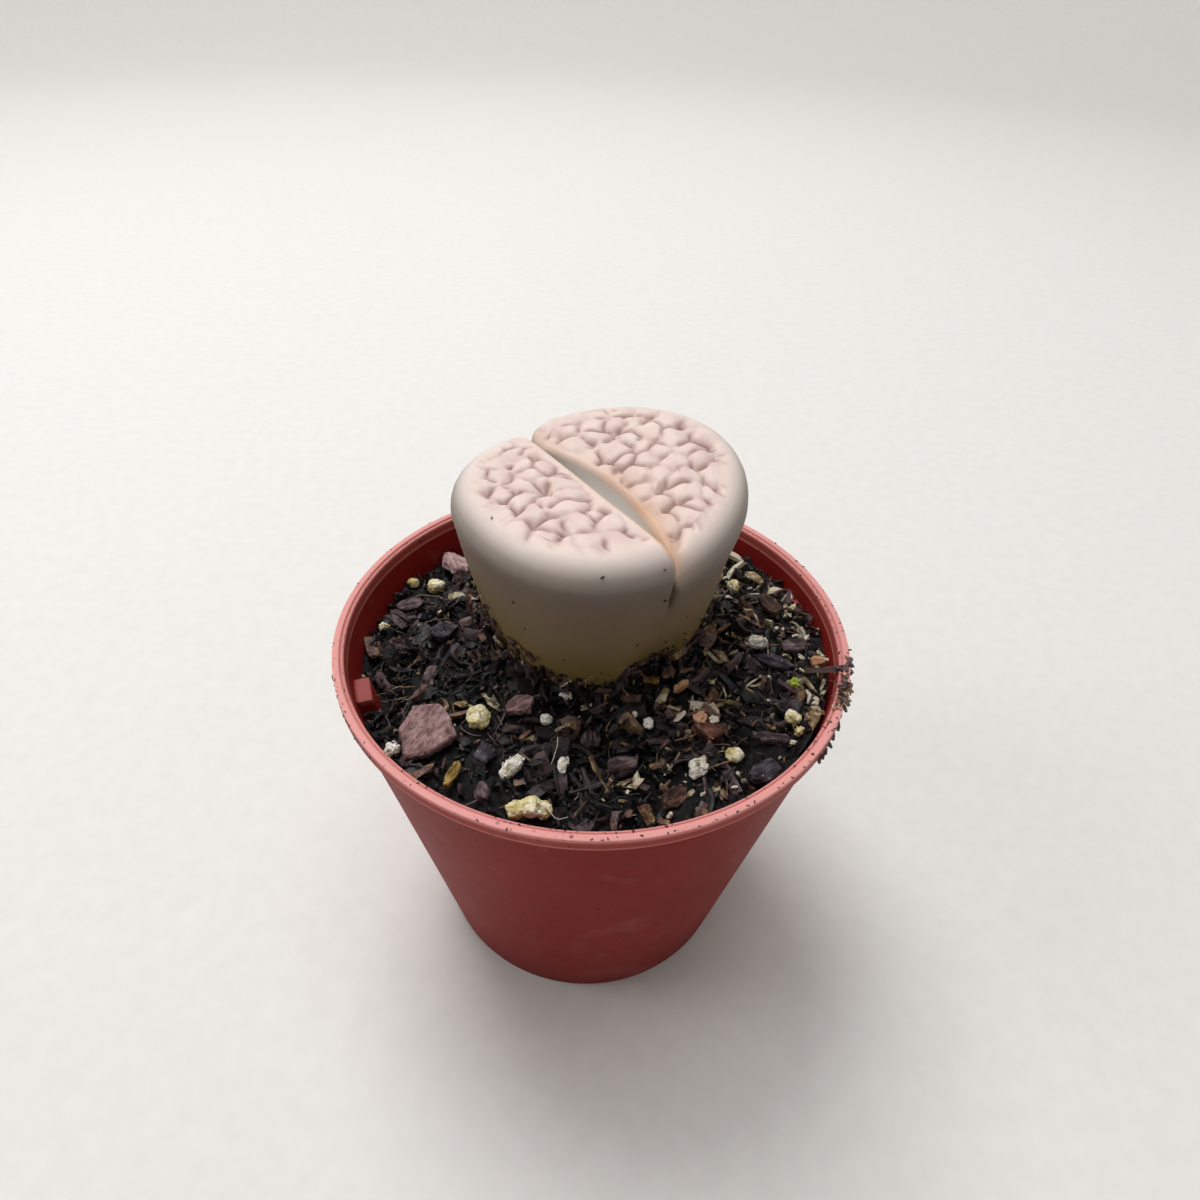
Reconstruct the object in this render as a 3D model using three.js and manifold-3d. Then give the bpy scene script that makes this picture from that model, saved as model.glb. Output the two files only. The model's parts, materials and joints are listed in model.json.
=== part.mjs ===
// Potted lithops: a fused pair of stone-plant leaves growing in a small plastic nursery pot.
// Millimetres, +Z up. The origin is the centre of the pot's foot, on the surface it stands on.

import * as THREE from 'three';
import { mergeVertices } from 'three/addons/utils/BufferGeometryUtils.js';
import Module from 'manifold-3d';

const wasm = await Module();
wasm.setup();

// ---- Driving dimensions ------------------------------------------------------------------

const CLEARANCE = 0.3;        // left between any two pieces that touch

const RIM_RADIUS = 27.5;      // a 55 mm nursery pot
const POT_HEIGHT = 44;
const FOOT_RADIUS = 19;
const WALL = 0.8;
const LIP_DROP = 2;           // height of the band round the rim
const LIP_OVERHANG = 0.6;     // how far the band stands out from the wall
const LIP_WIDTH = 1.5;
const FOOT_RING_WIDTH = 1.6;
const FLOOR_RAISE = 1.5;      // the floor's underside above the foot ring
const FLOOR_THICKNESS = 1;
const DRAIN_HOLE_RADIUS = 2.2;
const DRAIN_HOLE_CIRCLE = 11.5;
const DRAIN_HOLE_COUNT = 6;
const POT_SEGMENTS = 48;

const SOIL_LEVEL = 40.8;      // mean height of the soil's surface
const SOIL_SLOPE_X = 0.045;   // the surface rises to the right
const SOIL_SLOPE_Y = -0.04;   // and falls to the back
const SHARD_COUNT = 34;

const PLANT_LEVEL = 41.5;     // where the leaves come out of the soil
const PLANT_LEAN = [0, 3.1];  // the plant's foot lies this far behind its top
const FISSURE_CENTRE = [-0.4, 0.6];
const FISSURE_TURN = -55.5;   // degrees in plan, of the line between the two leaves
const NET_SPACING = 2.8;      // between the pillows of a leaf's window
const NET_DEPTH = 0.6;

// ---- Small helpers -----------------------------------------------------------------------

const radians = THREE.MathUtils.degToRad;
const mix = THREE.MathUtils.lerp;
const clamp = THREE.MathUtils.clamp;
const smoothstep = THREE.MathUtils.smoothstep;

// A repeatable number from 0 to 1 for whole numbers i, j and k.
function hash(i, j, k) {
  const wave = Math.sin(i * 127.1 + j * 311.7 + k * 74.7) * 43758.5453;
  return wave - Math.floor(wave);
}

// Smooth value noise from -1 to 1, with one random value per cell.
function noise(x, y, cell, seed) {
  const i = Math.floor(x / cell);
  const j = Math.floor(y / cell);
  const u = smoothstep(x / cell - i, 0, 1);
  const v = smoothstep(y / cell - j, 0, 1);
  const near = mix(hash(i, j, seed), hash(i + 1, j, seed), u);
  const far = mix(hash(i, j + 1, seed), hash(i + 1, j + 1, seed), u);
  return 2 * mix(near, far, v) - 1;
}

function toSolid(geometry) {
  const bare = geometry.clone();
  bare.deleteAttribute('normal');
  bare.deleteAttribute('uv');
  const merged = mergeVertices(bare, 1e-4);
  return new wasm.Manifold(new wasm.Mesh({
    numProp: 3,
    vertProperties: new Float32Array(merged.attributes.position.array),
    triVerts: new Uint32Array(merged.index.array),
  }));
}

function toGeometry(solid) {
  const mesh = solid.getMesh();
  const geometry = new THREE.BufferGeometry();
  geometry.setAttribute('position', new THREE.BufferAttribute(mesh.vertProperties, 3));
  geometry.setIndex(new THREE.BufferAttribute(mesh.triVerts, 1));
  geometry.computeVertexNormals();
  return geometry;
}

// The largest body of a solid, without loose scraps.
function largestBody(solid) {
  return solid.decompose().reduce((best, body) => (body.volume() > best.volume() ? body : best));
}

// A solid of revolution about Z from [radius, z] pairs that start and end on the axis or close.
function turned(profile, segments) {
  const points = profile.map(([radius, z]) => new THREE.Vector2(radius, z));
  return new THREE.LatheGeometry(points, segments).rotateX(Math.PI / 2);
}

// A closed skin over a gridded box, with `across` by `deep` cells on its top and `rows` down its
// sides. Its square top is first drawn into a round one, `aspect` times as long as it is deep. A
// point there, given by its share of the way out and its direction, moves to top(share, angle).
// A side row, counted down from the top, moves to side(row, angle), and the underside is flat.
function skinned({ across, deep, rows, aspect }, top, side) {
  const box = new THREE.BoxGeometry(2, 2, 2, across, deep, rows);
  const position = box.attributes.position;
  for (let index = 0; index < position.count; index += 1) {
    const x = position.getX(index);
    const y = position.getY(index);
    const roundX = x * Math.sqrt(1 - (y * y) / 2);
    const roundY = y * Math.sqrt(1 - (x * x) / 2);
    const share = Math.hypot(roundX, roundY);
    const angle = Math.atan2(roundY, roundX * aspect);
    const row = Math.round(((1 - position.getZ(index)) / 2) * rows);
    if (row === 0) {
      position.setXYZ(index, ...top(share, angle));
    } else {
      const edge = side(row, angle);
      const opposite = side(row, angle + Math.PI);
      const inward = (1 - share) / 2;
      position.setXYZ(index, mix(edge[0], opposite[0], inward), mix(edge[1], opposite[1], inward), edge[2]);
    }
  }
  return box;
}

function plastic(colour, roughness) {
  return new THREE.MeshStandardMaterial({ color: colour, roughness, metalness: 0 });
}

const assembly = new THREE.Group();

function addPiece(name, geometry, material) {
  const mesh = new THREE.Mesh(geometry, material);
  mesh.name = name;
  assembly.add(mesh);
  return mesh;
}

// ---- Pot ---------------------------------------------------------------------------------

const wallTop = POT_HEIGHT - LIP_DROP;
const wallTopRadius = RIM_RADIUS - LIP_OVERHANG;
const wallSlope = (wallTopRadius - FOOT_RADIUS) / wallTop;
const floorTop = FLOOR_RAISE + FLOOR_THICKNESS;

const outsideRadius = (z) => FOOT_RADIUS + wallSlope * z;
const insideRadius = (z) => outsideRadius(z) - WALL;

// Pairs of upright ribs inside the wall keep nested pots from jamming.
const RIB_PAIRS = 4;
const RIB_FIRST_ANGLE = 199;
const RIB_TOP = POT_HEIGHT - 4;
const RIBS = [
  { angle: 0, width: 3, depth: 1.5 },
  { angle: 12, width: 1.4, depth: 1.1 },
];

function ribSolids(grow) {
  const solids = [];
  const foot = floorTop - 0.5;
  for (let pair = 0; pair < RIB_PAIRS; pair += 1) {
    for (const rib of RIBS) {
      const height = RIB_TOP + grow - foot;
      const reach = rib.depth + grow;
      const box = new THREE.BoxGeometry(reach + WALL / 2, rib.width + 2 * grow, height);
      box.translate(-(reach - WALL / 2) / 2, 0, foot + height / 2);
      const position = box.attributes.position;
      for (let i = 0; i < position.count; i += 1) {
        position.setX(i, position.getX(i) + insideRadius(position.getZ(i)));
      }
      const turn = RIB_FIRST_ANGLE + rib.angle + (360 / RIB_PAIRS) * pair;
      solids.push(toSolid(box.rotateZ(radians(turn))));
    }
  }
  return solids;
}

function buildPot() {
  const lipInner = RIM_RADIUS - LIP_WIDTH;
  let pot = toSolid(turned([
    [0, FLOOR_RAISE],
    [FOOT_RADIUS - FOOT_RING_WIDTH, FLOOR_RAISE],
    [FOOT_RADIUS - FOOT_RING_WIDTH, 0],
    [FOOT_RADIUS - 0.3, 0],
    [outsideRadius(0.3), 0.3],
    [wallTopRadius, wallTop],
    [RIM_RADIUS - 0.15, wallTop],
    [RIM_RADIUS, wallTop + 0.2],
    [RIM_RADIUS, POT_HEIGHT - 0.35],
    [RIM_RADIUS - 0.35, POT_HEIGHT],
    [lipInner + 0.2, POT_HEIGHT],
    [insideRadius(POT_HEIGHT - 0.6), POT_HEIGHT - 0.6],
    [insideRadius(floorTop), floorTop],
    [0, floorTop],
  ], POT_SEGMENTS));
  const drill = new THREE.CylinderGeometry(DRAIN_HOLE_RADIUS, DRAIN_HOLE_RADIUS, 4, 12);
  drill.rotateX(Math.PI / 2).translate(0, 0, floorTop);
  pot = pot.subtract(toSolid(drill));
  for (let hole = 0; hole < DRAIN_HOLE_COUNT; hole += 1) {
    const turn = (2 * Math.PI * hole) / DRAIN_HOLE_COUNT;
    pot = pot.subtract(toSolid(drill.clone().translate(DRAIN_HOLE_CIRCLE, 0, 0).rotateZ(turn)));
  }
  for (const rib of ribSolids(0)) {
    pot = pot.add(rib);
  }
  return pot;
}

addPiece('pot', toGeometry(buildPot()), plastic('#b5605c', 0.5));

// ---- Lithops -----------------------------------------------------------------------------

// Each leaf is described along the fissure (s) and outwards from it (t). Its outline is a
// half ellipse, `halfLength` by `reach`, closed by the fissure's wall.
const FRONT_LEAF = {
  side: -1,                   // outwards is to the front left
  middle: -0.6,
  halfLength: 14.6,
  reach: 12.9,
  roundness: 2.25,            // exponent of the ellipse
  backCorner: 12,             // the higher, the sharper the outline's corner
  frontCorner: 26,
  top: 61.6,
  riseAlong: 0.045,
  riseOut: 0,
  gap: 0.1,                   // from the fissure's line to the leaf's wall
  dip: 0,                     // how far the wall is hollowed at its middle
};
const BACK_LEAF = {
  side: 1,                    // outwards is to the back right
  middle: -1.2,
  halfLength: 14.8,
  reach: 16.6,
  roundness: 2,
  backCorner: 4.5,
  frontCorner: 26,
  top: 60.6,
  riseAlong: -0.03,
  riseOut: 0.19,
  gap: 0.1,
  dip: 2.1,
};

const SHOULDER_WIDTH = 3.2;   // the outer edge of the top is rounded this far in and down
const LIP_ROUNDING = 0.7;     // the edge along the fissure is much sharper
const CROWN = 0.5;            // the top is slightly domed
const WAIST = 0.79;           // size at the soil, against the widest level
const FISSURE_DEPTH = 6;
const OVERLAP = 2.2;          // below the fissure each leaf runs this far into the other
const WINDOW_MARGIN = 2.3;    // smooth border between the net and the outer edge
const FOOT_LEVEL = 35.5;      // the leaves end here, inside the neck
const FOOT_SCALE = 0.3;
const CORNER_SCALE = 6;

const SHOULDER_ROWS = 3;
const SIDE_ROWS = 3;
const FOOT_ROWS = 1;
const LEAF_ROWS = SHOULDER_ROWS + SIDE_ROWS + FOOT_ROWS;
const LEAF_GRID = { across: 38, deep: 20, rows: LEAF_ROWS, aspect: 1.9 };
const HOLLOW_GRID = { across: 16, deep: 10, rows: LEAF_ROWS, aspect: 1.9 };

const along = [Math.cos(radians(FISSURE_TURN)), Math.sin(radians(FISSURE_TURN))];
const outward = [-along[1], along[0]];
const footCentre = [FISSURE_CENTRE[0] + PLANT_LEAN[0] + 0.8, FISSURE_CENTRE[1] + PLANT_LEAN[1] + 0.4];

// The pillow nearest to a point of the window, and how far the next one is beyond it.
function nearestPillows(x, y) {
  const rowHeight = NET_SPACING * Math.sqrt(0.75);
  const row = Math.round(y / rowHeight);
  let first = { distance: Infinity };
  let second = { distance: Infinity };
  for (let j = row - 2; j <= row + 2; j += 1) {
    const shift = j % 2 === 0 ? 0 : 0.5;
    const column = Math.round(x / NET_SPACING - shift);
    for (let i = column - 2; i <= column + 2; i += 1) {
      const seedX = (i + shift + 0.55 * (hash(i, j, 1) - 0.5)) * NET_SPACING;
      const seedY = j * rowHeight + 0.55 * (hash(i, j, 2) - 0.5) * NET_SPACING;
      const pillow = { distance: Math.hypot(x - seedX, y - seedY), key: hash(i, j, 3) };
      if (pillow.distance < first.distance) {
        second = first;
        first = pillow;
      } else if (pillow.distance < second.distance) {
        second = pillow;
      }
    }
  }
  return [first, second];
}

// Height of the window's relief: pillows with grooves between them, some deep, some faint.
function windowRelief(x, y) {
  const [first, second] = nearestPillows(x, y);
  const fromGroove = (second.distance - first.distance) / NET_SPACING;
  const strength = 0.6 + 0.4 * Math.abs(Math.sin(20 * (first.key + second.key)));
  return NET_DEPTH * strength * (smoothstep(fromGroove, 0, 0.7) - 1);
}

// Distance of the fissure's wall from the fissure's line; it closes with depth, then overlaps.
function wallOffset(leaf, s, depth, inset) {
  const hollow = leaf.dip * Math.max(0, 1 - ((s - 1.2) / 11) ** 2);
  const open = clamp(1 - depth / FISSURE_DEPTH, 0, 1);
  return (leaf.gap + hollow) * open + inset - OVERLAP * smoothstep(depth, 3, 11);
}

// Measures a point against a leaf's outline: `level` is 1 on it, and `wall` is 1 where the
// outline is the fissure's wall and 0 where it is the leaf's outer edge.
function measureOutline(leaf, s, t, size) {
  const e = leaf.roundness;
  const lengthShare = Math.abs((s - leaf.middle) / size.halfLength);
  const outer = (lengthShare ** e + Math.abs(t / size.reach) ** e) ** (1 / e);
  const inner = Math.max(0, 1 + (wallOffset(leaf, s, size.depth, size.inset) - t) / CORNER_SCALE);
  const corner = mix(leaf.backCorner, leaf.frontCorner, smoothstep(s, -leaf.halfLength, leaf.halfLength));
  const outerPower = outer ** corner;
  const innerPower = inner ** corner;
  const sum = outerPower + innerPower;
  return { level: sum ** (1 / corner), wall: innerPower / sum, outer };
}

// Walks out from the leaf's own centre to its outline at one level.
function findOutline(leaf, angle, centre, size) {
  let low = 0;
  let high = 2 * leaf.halfLength;
  let found = null;
  for (let step = 0; step < 36; step += 1) {
    const radius = (low + high) / 2;
    const s = leaf.middle + radius * Math.cos(angle);
    found = measureOutline(leaf, s, centre + radius * Math.sin(angle), size);
    if (found.level < 1) {
      low = radius;
    } else {
      high = radius;
    }
  }
  return { radius: low, wall: found.wall };
}

function leafSolid(leaf, grid, grow) {
  const centre = 0.43 * leaf.reach;
  const widestLevel = leaf.top - CROWN - SHOULDER_WIDTH;
  const sizeAt = (scale, inset, wallInset, depth) => ({
    halfLength: leaf.halfLength * scale - inset + grow,
    reach: leaf.reach * scale - inset + grow,
    inset: wallInset - grow,
    depth,
  });
  const inPlace = (s, t, z) => [
    FISSURE_CENTRE[0] + s * along[0] + leaf.side * t * outward[0],
    FISSURE_CENTRE[1] + s * along[1] + leaf.side * t * outward[1],
    z,
  ];
  const planeHeight = (s, t) => leaf.top + leaf.riseAlong * s + leaf.riseOut * t;

  // The top, from its centre to where the shoulder starts, with the window's relief.
  function topPoint(share, angle) {
    const { radius } = findOutline(leaf, angle, centre, sizeAt(1, SHOULDER_WIDTH, LIP_ROUNDING, 0));
    const s = leaf.middle + share * radius * Math.cos(angle);
    const t = centre + share * radius * Math.sin(angle);
    const [x, y] = inPlace(s, t, 0);
    const { outer } = measureOutline(leaf, s, t, sizeAt(1, 0, 0, 0));
    const fromEdge = (1 - outer) * leaf.reach - WINDOW_MARGIN;
    const fromWall = t - wallOffset(leaf, s, 0, LIP_ROUNDING);
    const window = smoothstep(fromEdge, 0, 1.2) * smoothstep(fromWall, 0.3, 2);
    return inPlace(s, t, planeHeight(s, t) - CROWN * share * share + window * windowRelief(x, y));
  }

  // The shoulder, a quarter round that is broad outside and tight along the fissure.
  function shoulderPoint(row, angle) {
    const bend = (Math.PI / 2) * (row / SHOULDER_ROWS);
    const left = 1 - Math.sin(bend);
    const size = sizeAt(1, SHOULDER_WIDTH * left, LIP_ROUNDING * left, 0);
    const { radius, wall } = findOutline(leaf, angle, centre, size);
    const s = leaf.middle + radius * Math.cos(angle);
    const t = centre + radius * Math.sin(angle);
    const drop = mix(SHOULDER_WIDTH, LIP_ROUNDING, wall) * (1 - Math.cos(bend));
    return inPlace(s, t, planeHeight(s, t) - CROWN - drop);
  }

  // The side, narrowing from the widest level to the soil and on into the neck.
  function sidePoint(row, angle) {
    const share = Math.min(1, row / SIDE_ROWS);
    const below = Math.max(0, (row - SIDE_ROWS) / FOOT_ROWS);
    const scale = mix(mix(1, WAIST, share), FOOT_SCALE, below);
    const level = mix(PLANT_LEVEL, FOOT_LEVEL - grow, below);
    const start = shoulderPoint(SHOULDER_ROWS, angle)[2];
    const depth = share * (widestLevel - level);
    const { radius } = findOutline(leaf, angle, centre * scale, sizeAt(scale, 0, 0, depth));
    const s = leaf.middle * scale + radius * Math.cos(angle);
    const t = centre * scale + radius * Math.sin(angle);
    const [x, y] = inPlace(s, t);
    return [x + PLANT_LEAN[0] * share, y + PLANT_LEAN[1] * share, mix(start, level, share)];
  }

  // The front leaf faces the other way, so its rings run the other way round.
  return toSolid(skinned(
    grid,
    (share, angle) => topPoint(share, angle * leaf.side),
    (row, angle) => (row <= SHOULDER_ROWS
      ? shoulderPoint(row, angle * leaf.side)
      : sidePoint(row - SHOULDER_ROWS, angle * leaf.side)),
  ));
}

// The neck under the leaves and the short taproot that it ends in.
function rootSolid(grow) {
  const profile = [[0.7, 15], [1.3, 22], [1.9, 29], [3.2, 33], [5.6, 36], [6.4, 38.5]];
  const grown = profile.map(([radius, z]) => [radius + grow, z]);
  const root = turned([[0, 15 - grow], ...grown, [0, 38.5]], 20);
  return toSolid(root.translate(...footCentre, 0));
}

function plantSolid(grid, grow) {
  return leafSolid(FRONT_LEAF, grid, grow).add(leafSolid(BACK_LEAF, grid, grow)).add(rootSolid(grow));
}

addPiece('lithops', toGeometry(largestBody(plantSolid(LEAF_GRID, 0))), plastic('#cbb5a8', 0.55));

// ---- Bark, pumice and perlite lying on the soil -------------------------------------------

function soilHeight(x, y) {
  const lumps = 0.55 * noise(x, y, 5.5, 11) + 0.35 * noise(x, y, 2.4, 12);
  const slope = SOIL_SLOPE_X * x + SOIL_SLOPE_Y * y;
  const mound = 1.9 * (1 - smoothstep(Math.hypot(x - footCentre[0], y - footCentre[1]), 10, 16.5));
  const hollow = 1.6 * Math.exp(-((x + 21) ** 2 + (y + 4) ** 2) / 22);
  return SOIL_LEVEL + slope + lumps + mound - hollow;
}

// A flat chip: an uneven outline, extruded, with the edges of the large ones broken by a bevel.
function chipGeometry(size, seed, grow) {
  const [length, width, thickness] = size.map((value) => value + 2 * grow);
  const corners = 7;
  const bevel = grow === 0 && length > 4 ? 0.2 : 0;
  const outline = new THREE.Shape();
  for (let corner = 0; corner < corners; corner += 1) {
    const turn = (2 * Math.PI * (corner + 0.5 * (hash(corner, seed, 5) - 0.5))) / corners;
    const reach = 0.86 + 0.28 * (hash(corner, seed, 6) - 0.5);
    const x = (length / 2 - bevel) * reach * Math.cos(turn);
    const y = (width / 2 - bevel) * reach * Math.sin(turn);
    if (corner === 0) {
      outline.moveTo(x, y);
    } else {
      outline.lineTo(x, y);
    }
  }
  outline.closePath();
  const chip = new THREE.ExtrudeGeometry(outline, {
    depth: thickness - 2 * bevel,
    bevelEnabled: bevel > 0,
    bevelThickness: bevel,
    bevelSize: bevel,
    bevelSegments: 1,
  });
  return chip.translate(0, 0, bevel - thickness / 2);
}

// A rounded but uneven mineral grain, with fewer faces on the small ones.
function grainGeometry(size, seed, grow) {
  const grain = new THREE.IcosahedronGeometry(1, size[0] > 1.4 ? 1 : 0);
  const position = grain.attributes.position;
  const point = new THREE.Vector3();
  for (let i = 0; i < position.count; i += 1) {
    point.fromBufferAttribute(position, i);
    const bump = hash(Math.round(point.x * 9), Math.round(point.y * 9), Math.round(point.z * 9) + seed);
    point.multiplyScalar(0.84 + 0.22 * bump);
    position.setXYZ(i, point.x, point.y, point.z);
  }
  return grain.scale(size[0] / 2 + grow, size[1] / 2 + grow, size[2] / 2 + grow);
}

// The plain hole that a grain sits in.
function grainPocket(size) {
  const around = 1.2;
  const hole = new THREE.IcosahedronGeometry(around, 0);
  return hole.scale(...size.map((value) => value / 2 + CLEARANCE));
}

// `at` is a piece's place in plan and the height of its middle above the soil. `tip` tips it about
// its own length and width and then turns it to its heading, in degrees.
const MAUVE = '#8d6a68';
const ROSE = '#a98a89';
const DUSK = '#746062';
const SLATE = '#4f454c';
const BROWN = '#6b4a41';
const RUST = '#82503f';
const TAN = '#b98a5e';
const OAK = '#8f6a3a';
const CREAM = '#dccf96';
const WHITE = '#e9e6de';

const BARK = [
  { name: 'bark_plate', at: [-15.7, -14.4, 0.5], size: [7, 5.4, 1.3], tip: [6, 12, 38], colour: MAUVE },
  { name: 'bark_tilted', at: [-17.4, 14.2, 0.9], size: [5.6, 4.6, 1.2], tip: [-24, 0, -50], colour: ROSE },
  { name: 'bark_wedge', at: [-7, -10.4, 0.4], size: [3.4, 2.6, 1], tip: [12, -10, 15], colour: MAUVE },
  { name: 'bark_bit', at: [0.2, -14.5, 0.4], size: [2.6, 2.3, 1], tip: [15, 5, 70], colour: DUSK },
  { name: 'bark_pebble', at: [3.4, -17.8, 0.4], size: [3.4, 1.8, 1.4], tip: [0, 6, 25], colour: DUSK },
  { name: 'bark_slab_right', at: [22.3, -0.3, 0.4], size: [3.8, 2.2, 0.8], tip: [10, 0, 12], colour: DUSK },
  { name: 'bark_slab_low', at: [19.6, -3.6, 0.3], size: [4.6, 2, 0.8], tip: [14, 4, -16], colour: SLATE },
  { name: 'bark_flake_front', at: [8, -21.6, 0.5], size: [3.6, 2, 0.9], tip: [34, 0, 48], colour: BROWN },
  { name: 'bark_strip', at: [17.6, -14.2, 0.4], size: [4.8, 1.4, 0.9], tip: [12, 0, -4], colour: DUSK },
  { name: 'bark_slab_front', at: [16.6, -18.2, 0.2], size: [4.4, 2.4, 1], tip: [10, 0, 35], colour: SLATE },
  { name: 'bark_lump', at: [11.6, -13.4, 0.4], size: [3.6, 2.6, 1.5], tip: [14, 8, -25], colour: RUST },
  { name: 'bark_strip_left', at: [-17.4, -4.6, 0.5], size: [4.2, 1.5, 0.9], tip: [8, 6, 82], colour: DUSK },
  { name: 'bark_lump_left', at: [-16.9, 1.4, 0.4], size: [3.6, 2.4, 1.2], tip: [18, 0, 20], colour: SLATE },
  { name: 'bark_chip_left', at: [-22, 6.8, 0.4], size: [3.8, 2.3, 0.9], tip: [12, 0, 30], colour: DUSK },
  { name: 'bark_slate', at: [-9.7, -16.6, 0.4], size: [3.2, 2.4, 0.9], tip: [16, 8, 75], colour: SLATE },
  { name: 'bark_nub', at: [-9.4, -21.3, 0.4], size: [2.6, 1.6, 0.9], tip: [20, 0, 100], colour: DUSK },
  { name: 'wood_strip', at: [-12.4, -19.4, 0.4], size: [3.8, 1.2, 0.8], tip: [10, 6, 76], colour: OAK },
  { name: 'wood_splinter', at: [9.4, -7.6, 0.5], size: [2.2, 0.9, 0.7], tip: [0, -12, 38], colour: TAN },
  { name: 'wood_sliver', at: [6.3, -7.4, 0.5], size: [2.4, 0.8, 0.7], tip: [0, 0, -12], colour: OAK },
  { name: 'bark_splinter', at: [-14.6, 6.2, 1], size: [3.4, 0.9, 0.7], tip: [0, -58, 84], colour: RUST },
  { name: 'bark_back_left', at: [-8.6, 20.6, 0.4], size: [4.2, 2.8, 1], tip: [-10, 0, 15], colour: BROWN },
  { name: 'bark_back', at: [2.6, 22.2, 0.4], size: [3.6, 2, 0.9], tip: [-12, 6, -20], colour: DUSK },
  { name: 'bark_back_right', at: [14.4, 17.4, 0.4], size: [4, 2.6, 1], tip: [12, 0, 60], colour: BROWN },
  { name: 'bark_right', at: [20.4, 6.2, 0.4], size: [3.8, 2.4, 0.9], tip: [10, 5, -60], colour: BROWN },
  { name: 'seed_disc', at: [24, -3.6, 0.5], size: [1.9, 1.7, 0.7], tip: [8, 0, 0], colour: TAN },
];

const GRAINS = [
  { name: 'pumice_large', at: [-10.9, -12.3, 0.7], size: [2.6, 2.9, 2.4], tip: [0, 0, 20], colour: CREAM },
  { name: 'pumice_left', at: [-19.4, 10.2, 0.5], size: [2.4, 1.9, 1.9], tip: [0, 0, 25], colour: CREAM },
  { name: 'pumice_far_left', at: [-22.2, 10.3, 0.4], size: [1.5, 1.3, 1.3], tip: [0, 0, 0], colour: CREAM },
  { name: 'pumice_right', at: [16.6, 10, 0.4], size: [1.6, 1.9, 1.5], tip: [0, 0, 10], colour: CREAM },
  { name: 'pumice_speckled', at: [13.9, -16.4, 0.4], size: [1.9, 1.8, 1.5], tip: [0, 0, 0], colour: CREAM },
  { name: 'pumice_pale', at: [20.4, -11.2, 0.4], size: [1.7, 1.8, 1.5], tip: [0, 0, 0], colour: CREAM },
  { name: 'pumice_hook', at: [20.6, -13.3, 0.4], size: [1.4, 1, 1], tip: [0, 0, 60], colour: CREAM },
  { name: 'perlite_front', at: [10.3, -18.6, 0.5], size: [2.2, 1.9, 1.7], tip: [0, 0, 40], colour: WHITE },
  { name: 'perlite_right', at: [18.4, 0.2, 0.5], size: [2.3, 1.7, 1.6], tip: [0, 0, -10], colour: WHITE },
  { name: 'perlite_long', at: [-6.9, -18.6, 0.5], size: [3.2, 1.6, 1.6], tip: [0, 0, 55], colour: WHITE },
  { name: 'perlite_oval', at: [-2.2, -18.2, 0.6], size: [1.2, 2.2, 1.3], tip: [0, 0, -5], colour: WHITE },
  { name: 'perlite_small', at: [5.9, -12.9, 0.4], size: [1.2, 1.5, 1.1], tip: [0, 0, 20], colour: WHITE },
  { name: 'perlite_middle', at: [-4.2, -12, 0.4], size: [1.5, 1.2, 1.1], tip: [0, 0, -20], colour: WHITE },
  { name: 'perlite_back', at: [8.6, 20.6, 0.4], size: [1.9, 1.6, 1.5], tip: [0, 0, 0], colour: WHITE },
  { name: 'pumice_back_left', at: [-3, 19.6, 0.4], size: [1.7, 1.5, 1.4], tip: [0, 0, 0], colour: CREAM },
];

// A crumbly clump of pumice against the front of the rim, as overlapping grains.
const CLUMP = { name: 'pumice_clump', at: [-4.9, -23.7, 0.7], tip: [0, 0, 0], colour: CREAM };
const CLUMP_GRAINS = [
  { offset: [-1.1, 0, -0.1], size: [2, 1.8, 1.9] },
  { offset: [0.2, 0.2, 0.1], size: [2.1, 2, 2.1] },
  { offset: [1.3, 0.1, -0.2], size: [1.8, 1.7, 1.8] },
];

function clumpGeometry(grow) {
  const grains = CLUMP_GRAINS.map(({ offset, size }, index) => (
    toSolid(grainGeometry(size, 70 + index, grow).translate(...offset))
  ));
  return toGeometry(grains.reduce((clump, grain) => clump.add(grain)));
}

const pockets = [];

// Places a piece in the soil's surface, and keeps the hole that it sits in.
function bed(spec, geometry, pocket) {
  const mesh = addPiece(spec.name, toGeometry(toSolid(geometry)), plastic(spec.colour, 0.9));
  const [x, y, lift] = spec.at;
  mesh.position.set(x, y, soilHeight(x, y) + lift);
  mesh.rotation.set(...spec.tip.map(radians), 'ZYX');
  mesh.updateMatrixWorld();
  pockets.push(toSolid(pocket.applyMatrix4(mesh.matrixWorld)));
}

BARK.forEach((spec, index) => {
  bed(spec, chipGeometry(spec.size, index, 0), chipGeometry(spec.size, index, CLEARANCE));
});
GRAINS.forEach((spec, index) => {
  bed(spec, grainGeometry(spec.size, 30 + index, 0), grainPocket(spec.size));
});
bed(CLUMP, clumpGeometry(0), clumpGeometry(CLEARANCE));

// ---- Soil --------------------------------------------------------------------------------

const SOIL_SIDE_LEVELS = [36, floorTop];
const SOIL_GRID = { across: 20, deep: 20, rows: SOIL_SIDE_LEVELS.length, aspect: 1 };

function soilBody() {
  const sideRadius = (z) => insideRadius(z) - CLEARANCE - 0.05;
  const body = toSolid(skinned(SOIL_GRID, (share, angle) => {
    const radius = sideRadius(SOIL_LEVEL - 2) * share;
    const x = radius * Math.cos(angle);
    const y = radius * Math.sin(angle);
    return [x, y, soilHeight(x, y)];
  }, (row, angle) => {
    const level = SOIL_SIDE_LEVELS[row - 1];
    return [sideRadius(level) * Math.cos(angle), sideRadius(level) * Math.sin(angle), level];
  }));
  const belowFloor = new THREE.BoxGeometry(2 * RIM_RADIUS, 2 * RIM_RADIUS, 2 * (floorTop + CLEARANCE));
  return body.subtract(toSolid(belowFloor));
}

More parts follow.
